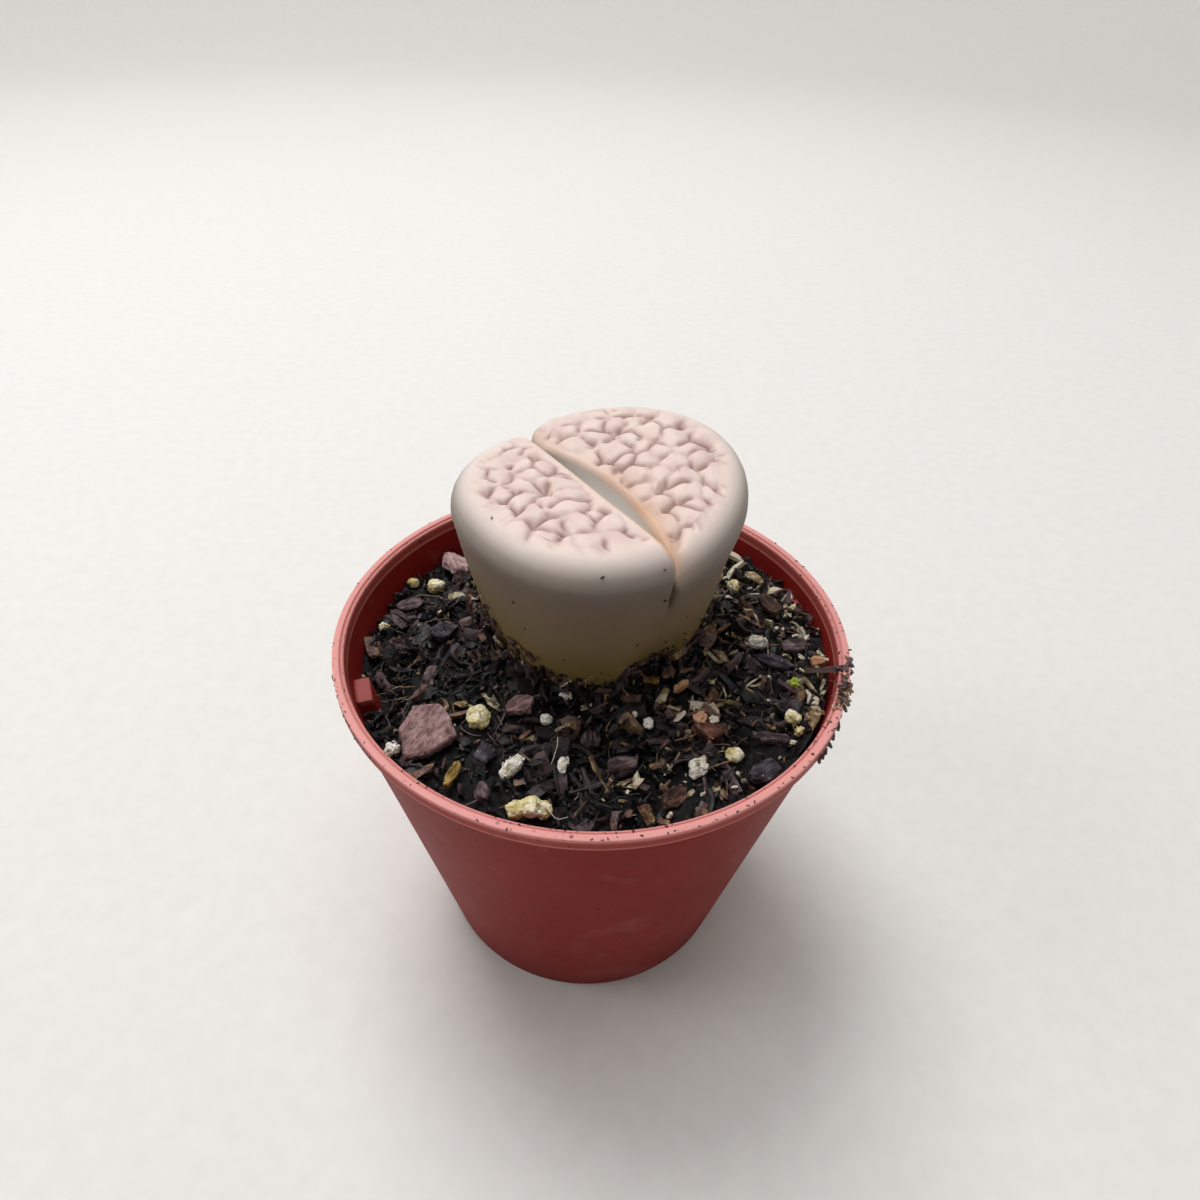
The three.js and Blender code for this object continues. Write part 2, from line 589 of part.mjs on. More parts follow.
// Dark bark shards, half sunk, that make up the soil's surface.
function shardSolid(index) {
  const draw = (k) => hash(index, 17, k);
  const size = [mix(2.4, 4.6, draw(2)), mix(1.2, 2.2, draw(3)), mix(0.7, 1.1, draw(4))];
  const radius = (25 - size[0] / 2) * Math.sqrt(mix(0.16, 1, draw(1)));
  const angle = 2 * Math.PI * ((index * 0.618034) % 1);
  const x = radius * Math.cos(angle);
  const y = radius * Math.sin(angle);
  const shard = new THREE.Object3D();
  shard.position.set(x, y, soilHeight(x, y) + mix(0, 0.35, draw(5)));
  const tip = [mix(-40, 40, draw(6)), mix(-24, 24, draw(7)), 180 * draw(8)];
  shard.rotation.set(...tip.map(radians), 'ZYX');
  shard.updateMatrixWorld();
  const outline = new THREE.CylinderGeometry(0.5, 0.5, 1, 5).rotateX(Math.PI / 2);
  return toSolid(outline.scale(...size).applyMatrix4(shard.matrixWorld));
}

function buildSoil() {
  let soil = soilBody();
  for (let index = 0; index < SHARD_COUNT; index += 1) {
    soil = soil.add(shardSolid(index));
  }
  for (const cutter of [plantSolid(HOLLOW_GRID, CLEARANCE), ...ribSolids(CLEARANCE), ...pockets]) {
    soil = soil.subtract(cutter);
  }
  return largestBody(soil);
}

addPiece('soil', toGeometry(buildSoil()), plastic('#1d1613', 0.95));

export default assembly;
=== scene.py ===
import json
import math

import bmesh
import bpy
import numpy as np
from mathutils import Matrix, Vector, noise


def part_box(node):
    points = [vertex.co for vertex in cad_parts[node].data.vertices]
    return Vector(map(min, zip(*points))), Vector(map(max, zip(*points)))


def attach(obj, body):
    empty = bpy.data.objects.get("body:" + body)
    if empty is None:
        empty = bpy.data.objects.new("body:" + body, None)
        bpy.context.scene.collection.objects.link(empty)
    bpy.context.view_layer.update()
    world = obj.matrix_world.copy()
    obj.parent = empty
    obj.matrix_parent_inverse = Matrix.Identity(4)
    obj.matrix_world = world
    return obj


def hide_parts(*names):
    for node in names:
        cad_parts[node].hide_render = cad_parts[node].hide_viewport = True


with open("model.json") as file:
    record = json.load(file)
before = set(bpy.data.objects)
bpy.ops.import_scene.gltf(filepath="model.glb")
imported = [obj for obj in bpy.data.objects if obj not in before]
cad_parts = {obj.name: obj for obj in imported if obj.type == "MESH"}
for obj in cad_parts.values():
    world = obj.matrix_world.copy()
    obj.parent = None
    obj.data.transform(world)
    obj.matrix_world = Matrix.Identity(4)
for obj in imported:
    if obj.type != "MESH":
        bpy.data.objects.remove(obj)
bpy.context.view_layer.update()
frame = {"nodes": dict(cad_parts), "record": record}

# Potted lithops: a pair of stone-plant leaves in a small nursery pot. The origin is the centre of
# the pot's foot, on the surface that it stands on. Lengths are in metres, as the camera's, the
# table's and the pot's, or in millimetres, as those of the plant, the soil and what lies on it.

MM = 0.001


# ---- Camera, floor and light ----------------------------------------------------------------
# The camera looks down into the pot from the front. The pot stands on a pale, matt table that
# sweeps up to a wall all round, under one broad lamp, as under an overcast sky.

CAMERA_HEADING = math.radians(39.86)   # down from level
CAMERA_ROLL = math.radians(2.25)
CAMERA_PLACE = Vector((0.66, -66.24, 102.47)) * MM
CAMERA_SENSOR, CAMERA_LENS = 36, 24.285
CAMERA_NEAREST = 0.005

camera_back = Vector((0, -math.cos(CAMERA_HEADING), math.sin(CAMERA_HEADING)))
level_right = Vector((1, 0, 0))
level_up = camera_back.cross(level_right)
camera_right = math.cos(CAMERA_ROLL) * level_right + math.sin(CAMERA_ROLL) * level_up
camera_up = camera_back.cross(camera_right)

camera = bpy.data.objects.new("camera", bpy.data.cameras.new("camera"))
bpy.context.scene.collection.objects.link(camera)
camera_turn = Matrix((camera_right, camera_up, camera_back)).transposed().to_4x4()
camera.matrix_world = Matrix.Translation(CAMERA_PLACE) @ camera_turn
camera.data.sensor_width = CAMERA_SENSOR
camera.data.lens = CAMERA_LENS
camera.data.clip_start = CAMERA_NEAREST
bpy.context.scene.camera = camera
bpy.context.scene.view_settings.view_transform = "Standard"


def fresh(add, name, **settings):
    """A new primitive, as the one selected, active object."""
    bpy.ops.object.select_all(action="DESELECT")
    add(**settings)
    bpy.context.object.name = name
    return bpy.context.object


def hex_colour(code):
    """An sRGB hex colour as the linear colour that a shader takes."""
    values = [int(code[i:i + 2], 16) / 255 for i in (1, 3, 5)]
    return [v / 12.92 if v <= 0.04045 else ((v + 0.055) / 1.055) ** 2.4 for v in values] + [1]


def new_finish(name):
    """An empty material, and the function that adds a node to it with its settings and links."""
    finish = bpy.data.materials.new(name)
    finish.use_nodes = True
    tree = finish.node_tree
    tree.nodes.clear()

    def node(kind, gives=0, stops=(), **settings):
        """Gives one output. A setting is a property, or a socket's value, hex colour or link."""
        made = tree.nodes.new("ShaderNode" + kind)
        for key, value in settings.items():
            if hasattr(made, key):
                setattr(made, key, value)
                continue
            socket = made.inputs[int(key[1:]) if key[1:].isdigit() else key.replace("_", " ")]
            if isinstance(value, bpy.types.NodeSocket):
                tree.links.new(value, socket)
            else:
                socket.default_value = hex_colour(value) if isinstance(value, str) else value
        if stops:
            elements = made.color_ramp.elements
            elements.remove(elements[1])
            elements[0].position, elements[0].color = stops[0][0], hex_colour(stops[0][1])
            for position, code in stops[1:]:
                elements.new(position).color = hex_colour(code)
        return made.outputs[gives] if made.outputs else None

    return finish, node


TABLE_RADIUS = 0.8
TABLE_SINK = 0.0001
SWEEP_RADIUS = 0.45
SWEEP_STEPS = 12
WALL_HEIGHT = 1.7

table = fresh(bpy.ops.mesh.primitive_circle_add, "table", vertices=96, radius=TABLE_RADIUS,
              fill_type="NGON", location=(0, 0, -TABLE_SINK))
bpy.ops.object.transform_apply(location=True, rotation=True, scale=True)
bpy.ops.object.mode_set(mode="EDIT")
bpy.ops.mesh.select_mode(type="EDGE")
bpy.ops.mesh.select_all(action="SELECT")
bpy.ops.mesh.region_to_loop()
reach, rise = TABLE_RADIUS, 0
for step in range(1, SWEEP_STEPS + 2):
    bend = min(step, SWEEP_STEPS) / SWEEP_STEPS * math.pi / 2
    next_reach = TABLE_RADIUS + SWEEP_RADIUS * math.sin(bend)
    next_rise = SWEEP_RADIUS * (1 - math.cos(bend)) if step <= SWEEP_STEPS else WALL_HEIGHT
    bpy.ops.mesh.extrude_region_move(TRANSFORM_OT_translate={"value": (0, 0, next_rise - rise)})
    share = next_reach / reach
    bpy.ops.transform.resize(value=(share, share, 1), center_override=(0, 0, 0))
    reach, rise = next_reach, next_rise
bpy.ops.mesh.select_mode(type="VERT")
bpy.ops.mesh.select_all(action="SELECT")
bpy.ops.mesh.normals_make_consistent(inside=True)
bpy.ops.object.mode_set(mode="OBJECT")
bpy.ops.object.shade_smooth()

# White laminate, rolled matt: an even, faintly speckled pale grey.
matt_white, node = new_finish("matt_white_laminate")
speckle = node("TexNoise", Scale=900.0, Detail=2.0)
tone = node("ValToRGB", Fac=speckle, stops=((0.3, "#e6e4e1"), (0.7, "#eae8e5")))
node("OutputMaterial", Surface=node("BsdfPrincipled", Roughness=0.7, Base_Color=tone))
table.data.materials.append(matt_white)

world = bpy.data.worlds.new("studio")
bpy.context.scene.world = world
world.use_nodes = True
sky = world.node_tree.nodes["Background"].inputs
sky["Color"].default_value = (0.95, 0.97, 1.0, 1)
sky["Strength"].default_value = 0.12

# Each lamp: its place, what it points at, its width and its power.
for name, place, target, width, power in (
        ("lamp_over", (-0.24, 0.39, 0.93), (0, 0, 0.05), 0.55, 5.7),
        ("lamp_left", (-0.50, -0.06, 0.42), (0, 0, 0.05), 0.25, 0.6),
        ("lamp_backdrop", (0, 0.15, 1.3), (0, 1.0, 0.15), 0.9, 5)):
    light = bpy.data.lights.new(name, "AREA")
    light.shape, light.size, light.energy = "DISK", width, power
    lamp = bpy.data.objects.new(name, light)
    bpy.context.scene.collection.objects.link(lamp)
    lamp.location = place
    lamp.rotation_euler = (Vector(target) - Vector(place)).to_track_quat("-Z", "Y").to_euler()


# ---- Pot ------------------------------------------------------------------------------------
# A 55 mm nursery pot, injection moulded in terracotta-coloured polypropylene. It has a plain
# band round its rim, four pairs of stacking ribs inside and seven drain holes in its floor.

RIM_RADIUS = 27.5 * MM
POT_HEIGHT = 44 * MM
FOOT_RADIUS = 19 * MM
FOOT_RING = 1.6 * MM
FLOOR_RISE = 1.5 * MM
FLOOR_TOP = 2.5 * MM
WALL = 0.8 * MM
LIP_DROP = 1.4 * MM
LIP_OVERHANG = 0.6 * MM
WALL_TOP = POT_HEIGHT - LIP_DROP
WALL_TOP_RADIUS = RIM_RADIUS - LIP_OVERHANG
# The rim's top is a rounded bead, then a narrow groove and a thin inner edge. Each ring of it: how
# far in it lies, and how far it rises (mm). The last lies RINGS_DROP below the first.
RIM_RINGS = ((0.66, 0), (0.74, -0.24), (0.86, -0.02), (0.92, 0.12), (1.12, -0.1))
RINGS_DROP = 0.24 * MM
HOLE_RADIUS = 2.2 * MM
HOLE_CIRCLE = 11.5 * MM
RIBS_HEADING = 200    # degrees
RIB_FOOT = FLOOR_TOP - 0.5 * MM
# Each rib of a pair: how far round it stands (degrees), its width, depth and top.
RIBS = ((0, 3.4 * MM, 1.6 * MM, 41.0 * MM), (12, 1.4 * MM, 1.1 * MM, 38.8 * MM))


def inside_radius(z):
    return FOOT_RADIUS + (WALL_TOP_RADIUS - FOOT_RADIUS) * z / WALL_TOP - WALL


def select_faces(piece, wanted):
    """Selects, in edit mode, just the faces whose centre and normal pass the test."""
    shell = bmesh.from_edit_mesh(piece.data)
    bpy.ops.mesh.select_all(action="DESELECT")
    for face in shell.faces:
        if wanted(face.calc_center_median(), face.normal):
            face.select_set(True)
    shell.select_flush_mode()
    bmesh.update_edit_mesh(piece.data)


def push_ring(radius_from, radius_to, rise):
    """Extrudes the selected round face to a new radius and height."""
    bpy.ops.mesh.extrude_region_move(TRANSFORM_OT_translate={"value": (0, 0, rise)})
    share = radius_to / radius_from
    bpy.ops.transform.resize(value=(share, share, 1), center_override=(0, 0, 0))


def only(piece):
    """Makes a piece the one selected, active object."""
    bpy.ops.object.select_all(action="DESELECT")
    piece.select_set(True)
    bpy.context.view_layer.objects.active = piece


def smooth(piece, degrees):
    """Shades a piece smooth, but for its edges that are sharper than an angle."""
    only(piece)
    bpy.ops.object.shade_smooth_by_angle(angle=math.radians(degrees))


def shape_by(piece, kind, **settings):
    """Adds a modifier with its settings, and applies it."""
    only(piece)
    change = piece.modifiers.new("change", kind)
    for key, value in settings.items():
        setattr(change, key, value)
    bpy.ops.object.modifier_apply(modifier=change.name)


def cut_or_join(piece, tool, operation):
    """Cuts a closed tool from a piece, or joins it on, and removes the tool."""
    shape_by(piece, "BOOLEAN", object=tool, operation=operation, solver="MANIFOLD")
    bpy.data.objects.remove(tool)


pot = fresh(bpy.ops.mesh.primitive_cone_add, "nursery_pot", vertices=160, radius1=FOOT_RADIUS,
            radius2=WALL_TOP_RADIUS, depth=WALL_TOP, location=(0, 0, WALL_TOP / 2))
bpy.ops.object.transform_apply(location=True, rotation=True, scale=True)
bpy.ops.object.mode_set(mode="EDIT")
select_faces(pot, lambda centre, normal: normal.z > 0.9)
push_ring(WALL_TOP_RADIUS, RIM_RADIUS, 0)
push_ring(RIM_RADIUS, RIM_RADIUS, LIP_DROP)
ring = RIM_RADIUS
for inward, rise in RIM_RINGS:
    push_ring(ring, RIM_RADIUS - inward * MM, rise * MM)
    ring = RIM_RADIUS - inward * MM
push_ring(ring, inside_radius(FLOOR_TOP), FLOOR_TOP + RINGS_DROP - POT_HEIGHT)
select_faces(pot, lambda centre, normal: normal.z < -0.9 and centre.z < MM)
push_ring(FOOT_RADIUS, FOOT_RADIUS - FOOT_RING, 0)
push_ring(FOOT_RADIUS - FOOT_RING, FOOT_RADIUS - FOOT_RING, FLOOR_RISE)
bpy.ops.object.mode_set(mode="OBJECT")
shape_by(pot, "BEVEL", width=0.16 * MM, segments=3, angle_limit=math.radians(40))

for hole in range(7):
    turn = hole * math.pi / 3
    reach = HOLE_CIRCLE if hole < 6 else 0
    place = (reach * math.cos(turn), reach * math.sin(turn), FLOOR_TOP)
    drill = fresh(bpy.ops.mesh.primitive_cylinder_add, "drill", vertices=32, radius=HOLE_RADIUS,
                  depth=4 * MM, location=place)
    cut_or_join(pot, drill, "DIFFERENCE")

for pair in range(4):
    for beside, width, depth, top in RIBS:
        rib = fresh(bpy.ops.mesh.primitive_cube_add, "rib", size=1, location=(0, 0, 0))
        for vertex in rib.data.vertices:
            z = RIB_FOOT + (vertex.co.z + 0.5) * (top - RIB_FOOT)
            x = inside_radius(z) + (WALL / 2 if vertex.co.x > 0 else -depth)
            vertex.co = (x, vertex.co.y * width, z)
        turn = math.radians(RIBS_HEADING + beside + 90 * pair)
        rib.data.transform(Matrix.Rotation(turn, 4, "Z"))
        shape_by(rib, "BEVEL", width=0.12 * MM, segments=2)
        cut_or_join(pot, rib, "UNION")
smooth(pot, 35)

# Polypropylene, moulded: a soft satin skin with a faint grain, slightly see-through when thin,
# dulled by dust and by specks of soil that dried on it.
polypropylene, node = new_finish("terracotta_polypropylene")
place = node("TexCoord", "Object")
cloud = node("TexNoise", Scale=60.0, Detail=3.0, Vector=place)
# The wall's own terracotta red, painted darker as shade.
wall_colour = node("ValToRGB", Fac=cloud, stops=((0.3, "#791b18"), (0.7, "#81231f")))
# Painted light on the rim: its top is painted pale with painted light and sheen from above, the
# painted light fades down its band, and a thin painted highlight runs along the band's lower edge.
along_x, along_y, height = node("SeparateXYZ", Vector=place).node.outputs
at_rim = node("MapRange", From_Min=WALL_TOP - 0.1 * MM, From_Max=WALL_TOP, Value=height)
up_rim = node("MapRange", From_Min=WALL_TOP, From_Max=POT_HEIGHT, Value=height)
rim_colour_and_painted_light = node("ValToRGB", Fac=up_rim, stops=(
    (0.0, "#b46a63"), (0.12, "#b46a63"), (0.24, "#983f39"),
    (0.62, "#9f4843"), (0.88, "#d8908b"), (1.0, "#e39e99")))
# The tops of the ribs are painted paler too, as painted light from above.
from_axis = node("VectorMath", "Value", operation="LENGTH",
                 i0=node("CombineXYZ", X=along_x, Y=along_y))
inward = node("MapRange", From_Min=25.8 * MM, From_Max=25.5 * MM, To_Max=0.28, Value=from_axis)
high_up = node("MapRange", From_Min=40.3 * MM, From_Max=40.9 * MM, Value=height)
rib_top_painted_light = node("Math", operation="MULTIPLY", i0=inward, i1=high_up)
# Water has dried on the wall in pale blotches, and soil in small dark specks.
puddle = node("TexNoise", Scale=150.0, Detail=5.0, Roughness=0.6, Vector=place)
dried = node("MapRange", From_Min=0.58, From_Max=0.72, To_Max=0.14, Value=puddle)
speck = node("TexVoronoi", Scale=900.0, Vector=place)
rare = node("TexNoise", Scale=210.0, Detail=2.0, Vector=place)
small = node("MapRange", From_Min=0.10, From_Max=0.22, To_Min=1.0, To_Max=0.0, Value=speck)
patch = node("MapRange", From_Min=0.60, From_Max=0.66, Value=rare)
dirt = node("Math", operation="MULTIPLY", i0=small, i1=patch)
colour = wall_colour
for share, over in ((at_rim, rim_colour_and_painted_light), (rib_top_painted_light, "#dd9590"), (dried, "#c09a90"),
                    (dirt, "#3a201b")):
    colour = node("Mix", 2, data_type="RGBA", i0=share, i6=colour, i7=over)
film = node("TexNoise", Scale=150.0, Detail=5.0, Roughness=0.7, Vector=place)
satin = node("MapRange", To_Min=0.42, To_Max=0.62, Value=film)
polished = node("Math", operation="MULTIPLY", i0=up_rim, i1=0.2)
dull = node("Math", operation="SUBTRACT", i0=satin, i1=polished)
grain = node("TexNoise", Scale=2600.0, Detail=2.0, Vector=place)
raised = node("Bump", Strength=0.08, Distance=0.0001, Height=grain)
node("OutputMaterial", Surface=node(
    "BsdfPrincipled", IOR=1.49, Specular_IOR_Level=0.07, Subsurface_Weight=0.06,
    Subsurface_Radius=(1.0, 0.35, 0.3), Subsurface_Scale=0.0012,
    Base_Color=colour, Roughness=dull, Normal=raised))
pot.data.materials.clear()
pot.data.materials.append(polypropylene)
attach(pot, "root")
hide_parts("pot")


# ---- Lithops --------------------------------------------------------------------------------
# Two thick leaves grown together, with the fissure between them. Each has a flat, netted window
# on top, a smooth shoulder, and a side that narrows to the neck. Its skin is waxy and matt.

FISSURE_CENTRE = np.array([-0.4, 0.6])
FISSURE_TURN = math.radians(-55.5)
FISSURE_DEPTH = 6.0
ALONG = np.array([math.cos(FISSURE_TURN), math.sin(FISSURE_TURN)])
OUTWARD = np.array([-ALONG[1], ALONG[0]])
PLANT_LEAN = 3.1
PLANT_LEVEL = 41.5
FOOT_CENTRE = np.array([FISSURE_CENTRE[0] + 0.8, FISSURE_CENTRE[1] + PLANT_LEAN + 0.4])
SHOULDER_WIDTH = 3.2
LIP_ROUNDING = 0.7
CROWN = 0.5
WAIST = 0.84          # the side's width at the soil, as a share of the widest
SOLE_LEVEL, SOLE_SHARE = 35.5, 0.3
OVERLAP = 2.2         # how far the leaves reach into each other below the fissure
LEAF_MIDDLE = 0.43    # how far out a leaf's middle lies, as a share of its reach

# Along the fissure a leaf is 2 * half long, and it reaches out from it. Corners are how sharply it
# meets the fissure at either end, and lip is the tan edge along it: width, and tint at the ends.
FRONT_LEAF = dict(side=-1, middle=-0.6, half=14.6, reach=12.9, roundness=2.25, corners=(12, 26),
                  top=61.6, rise_along=0.045, rise_out=0.0, dip=0.0, lip=(0.55, 0.4, 0.4))
BACK_LEAF = dict(side=1, middle=-1.2, half=14.8, reach=16.6, roundness=2.0, corners=(4.5, 26),
                 top=60.6, rise_along=-0.03, rise_out=0.19, dip=2.1, lip=(1.5, 0.5, 1.0))


def eased(value, low, high):
    share = np.clip((value - low) / (high - low), 0, 1)
    return share * share * (3 - 2 * share)


def draw(i, j, k):
    """A repeatable number from 0 to 1 for whole numbers i, j and k."""
    wave = np.sin(i * 127.1 + j * 311.7 + k * 74.7) * 43758.5453
    return wave - np.floor(wave)


def read_points(piece, unit=MM):
    co = np.empty(len(piece.data.vertices) * 3)
    piece.data.vertices.foreach_get("co", co)
    return co.reshape(-1, 3) / unit


def write_points(piece, points):
    piece.data.vertices.foreach_set("co", (points * MM).ravel())
    piece.data.update()


def face_outwards(piece):
    only(piece)
    bpy.ops.object.mode_set(mode="EDIT")
    bpy.ops.mesh.select_all(action="SELECT")
    bpy.ops.mesh.normals_make_consistent(inside=False)
    bpy.ops.object.mode_set(mode="OBJECT")


def skirted_disc(name, across, deep, rows):
    """A disc from -1 to 1 with its edge extruded down in rows, and its points' x, y and row."""
    piece = fresh(bpy.ops.mesh.primitive_grid_add, name, x_subdivisions=across,
                  y_subdivisions=deep, size=2, location=(0, 0, 0))
    bpy.ops.object.mode_set(mode="EDIT")
    bpy.ops.mesh.select_mode(type="EDGE")
    bpy.ops.mesh.select_all(action="SELECT")
    bpy.ops.mesh.region_to_loop()
    for row in range(rows):
        bpy.ops.mesh.extrude_region_move(TRANSFORM_OT_translate={"value": (0, 0, -1)})
    bpy.ops.mesh.edge_face_add()
    bpy.ops.mesh.select_mode(type="VERT")
    bpy.ops.object.mode_set(mode="OBJECT")
    x, y, z = read_points(piece, 1).T
    # The square sheet becomes a disc.
    return piece, x * np.sqrt(1 - y * y / 2), y * np.sqrt(1 - x * x / 2), np.rint(-z).astype(int)


def top_plane(leaf, s, t):
    return leaf["top"] + leaf["rise_along"] * s + leaf["rise_out"] * t


def edge_drop(wall):
    """How far the rounded edge comes down: little by the fissure's wall, more at the shoulder."""
    return LIP_ROUNDING * wall + SHOULDER_WIDTH * (1 - wall)


def wall_offset(leaf, s, depth, inset):
    hollow = leaf["dip"] * np.maximum(0, 1 - ((s - 1.2) / 11) ** 2)
    opened = np.clip(1 - depth / FISSURE_DEPTH, 0, 1)
    return (0.1 + hollow) * opened + inset - OVERLAP * eased(depth, 3, 11)


def outline_level(leaf, s, t, half, reach, inset=0.0, depth=0.0):
    """How far out a point lies: 1 on the outline. Also the wall's share, and the plain oval."""
    e = leaf["roundness"]
    oval = (np.abs((s - leaf["middle"]) / half) ** e + np.abs(t / reach) ** e) ** (1 / e)
    inner = np.maximum(0, 1 + (wall_offset(leaf, s, depth, inset) - t) / 6)
    low, high = leaf["corners"]
    corner = low + (high - low) * eased(s, -leaf["half"], leaf["half"])
    total = oval ** corner + inner ** corner
    return total ** (1 / corner), inner ** corner / total, oval


def outline_point(leaf, angle, share, scale, half, reach, inset=0.0, depth=0.0):
    """A point some share of the way to the outline: along, out, and the wall's share there."""
    middle, centre = leaf["middle"] * scale, LEAF_MIDDLE * leaf["reach"] * scale
    near = np.zeros_like(angle)
    far = np.full_like(angle, 2 * leaf["half"])
    for halving in range(34):
        radius = (near + far) / 2
        s, t = middle + radius * np.cos(angle), centre + radius * np.sin(angle)
        level, wall, oval = outline_level(leaf, s, t, half, reach, inset, depth)
        near = np.where(level < 1, radius, near)
        far = np.where(level < 1, far, radius)
    return middle + share * near * np.cos(angle), centre + share * near * np.sin(angle), wall


def grow_leaf(leaf, name):
    """A skirted disc, drawn out to the leaf's rounded shape."""
    shoulder_rows, side_rows, sole_rows = 8, 18, 2
    rows = shoulder_rows + side_rows + sole_rows
    piece, round_x, round_y, row = skirted_disc(name, 210, 118, rows)
    share = np.hypot(round_x, round_y)
    angle = np.arctan2(round_y, round_x * 1.9) * leaf["side"]

    bend = np.clip(row / shoulder_rows, 0, 1) * math.pi / 2
    down = np.clip((row - shoulder_rows) / side_rows, 0, 1)
    below = np.clip((row - shoulder_rows - side_rows) / sole_rows, 0, 1)
    left = 1 - np.sin(bend)
    scale = 1 + (WAIST - 1) * down
    scale = scale + (SOLE_SHARE - scale) * below
    level = PLANT_LEVEL + (SOLE_LEVEL - PLANT_LEVEL) * below
    depth = down * (leaf["top"] - CROWN - SHOULDER_WIDTH - level)
    s, t, wall = outline_point(leaf, angle, share, scale,
                               leaf["half"] * scale - SHOULDER_WIDTH * left,
                               leaf["reach"] * scale - SHOULDER_WIDTH * left,
                               LIP_ROUNDING * left, depth)
    crown = CROWN * np.where(row > 0, 1, share) ** 2
    start = top_plane(leaf, s, t) - crown - edge_drop(wall) * (1 - np.cos(bend))
    # The side starts as the shoulder ends, straight under it, at any one direction.
    rim_s, rim_t, rim_wall = outline_point(leaf, angle, 1, 1, leaf["half"], leaf["reach"])
    rim_z = top_plane(leaf, rim_s, rim_t) - CROWN - edge_drop(rim_wall)
    write_points(piece, np.stack([
        FISSURE_CENTRE[0] + s * ALONG[0] + leaf["side"] * t * OUTWARD[0],
        FISSURE_CENTRE[1] + s * ALONG[1] + leaf["side"] * t * OUTWARD[1] + PLANT_LEAN * down,
        np.where(row > shoulder_rows, rim_z + (level - rim_z) * down, start),
    ], axis=1))
    face_outwards(piece)
    return piece


lithops = grow_leaf(FRONT_LEAF, "lithops_leaf_pair")
cut_or_join(lithops, grow_leaf(BACK_LEAF, "back_leaf"), "UNION")

# The neck and its short taproot, hidden in the soil: the radius at each level.
ROOT = ((6.4, 38.5), (5.6, 36.0), (3.2, 33.0), (1.9, 29.0), (1.3, 22.0), (0.7, 15.0))
NECK_HEIGHT = ROOT[0][1] - ROOT[1][1]
root = fresh(bpy.ops.mesh.primitive_cone_add, "taproot", vertices=40, radius1=ROOT[1][0] * MM,
             radius2=ROOT[0][0] * MM, depth=NECK_HEIGHT * MM, location=(0, 0, 0))
bpy.ops.object.mode_set(mode="EDIT")
select_faces(root, lambda centre, normal: normal.z < -0.9)
for (radius, level), (next_radius, next_level) in zip(ROOT[1:], ROOT[2:]):
    push_ring(radius, next_radius, (next_level - level) * MM)
bpy.ops.object.mode_set(mode="OBJECT")
root.data.transform(Matrix.Translation(Vector((*FOOT_CENTRE, ROOT[0][1] - NECK_HEIGHT / 2)) * MM))
cut_or_join(lithops, root, "UNION")


def keep_value(piece, name, values):
    """Keeps a value at each vertex, for the piece's material to read."""
    layer = piece.data.attributes.new(name, "FLOAT", "POINT")
    layer.data.foreach_set("value", values.astype(np.float32))


# Below the fissure the two leaves are one body, so the crease between them is smoothed away.
FUSED_BELOW = 61.0
FUSING_SWEEPS = 120
points = read_points(lithops)
x, y, z = points.T
edges = np.empty(len(lithops.data.edges) * 2, dtype=np.int64)
lithops.data.edges.foreach_get("vertices", edges)
starts, ends = edges.reshape(-1, 2).T
counts = np.bincount(edges, minlength=len(points)).astype(float)


def mean_beside(values):
    """The mean of a value over the neighbours of each point."""
    return (np.bincount(starts, values[ends], len(values))
            + np.bincount(ends, values[starts], len(values))) / counts


flat = points[:, :2] - FISSURE_CENTRE
aside = np.abs(flat @ OUTWARD - PLANT_LEAN * OUTWARD[1] * np.clip((59 - z) / 17, 0, 1))
at_notch = eased(np.abs(flat @ ALONG + 1), 10.5, 13)
lower = FUSED_BELOW - z
grown = np.maximum(eased(lower, 5.0 + 2.0 * at_notch, 10.0) * (1 - eased(aside, 1.5, 4.5)),
                   0.8 * (1 - at_notch) * eased(lower, 2.4, 4.2) * (1 - eased(aside, 0.7, 1.8)))
grown *= eased(z, 38.6, 40.6)
for sweep in range(FUSING_SWEEPS):
    means = np.stack([mean_beside(x), mean_beside(y), mean_beside(z)], axis=1)
    points += (grown * 0.6)[:, None] * (means - points)

# The net of the windows: pillows with creases between them, some deep and some faint.
NET_SPACING = 2.7
NET_DEPTH = 0.7
NET_SCATTER = 0.72
NET_UNEVEN = 0.7


def wander(x, y, cell, seed):
    """Smooth noise from -1 to 1, with one random value per cell."""
    i, j = np.floor(x / cell), np.floor(y / cell)
    u, v = eased(x / cell - i, 0, 1), eased(y / cell - j, 0, 1)
    near = draw(i, j, seed) * (1 - u) + draw(i + 1, j, seed) * u
    far = draw(i, j + 1, seed) * (1 - u) + draw(i + 1, j + 1, seed) * u
    return 2 * (near * (1 - v) + far * v) - 1


def nearest_pillows(x, y):
    """The distances to the nearest and the second nearest pillow's middle."""
    row_height = NET_SPACING * math.sqrt(0.75)
    row = np.rint(y / row_height)
    first = np.full_like(x, 99.0)
    second = np.full_like(x, 99.0)
    for down in range(-2, 3):
        j = row + down
        shift = np.where(np.mod(j, 2) == 0, 0, 0.5)
        column = np.rint(x / NET_SPACING - shift)
        for beyond in range(-2, 3):
            i = column + beyond
            seed_x = (i + shift + NET_SCATTER * (draw(i, j, 1) - 0.5)) * NET_SPACING
            seed_y = j * row_height + NET_SCATTER * (draw(i, j, 2) - 0.5) * NET_SPACING
            distance = np.hypot(x - seed_x, y - seed_y) + NET_UNEVEN * draw(i, j, 3)
            second = np.minimum(second, np.maximum(first, distance))
            first = np.minimum(first, distance)
    return first, second


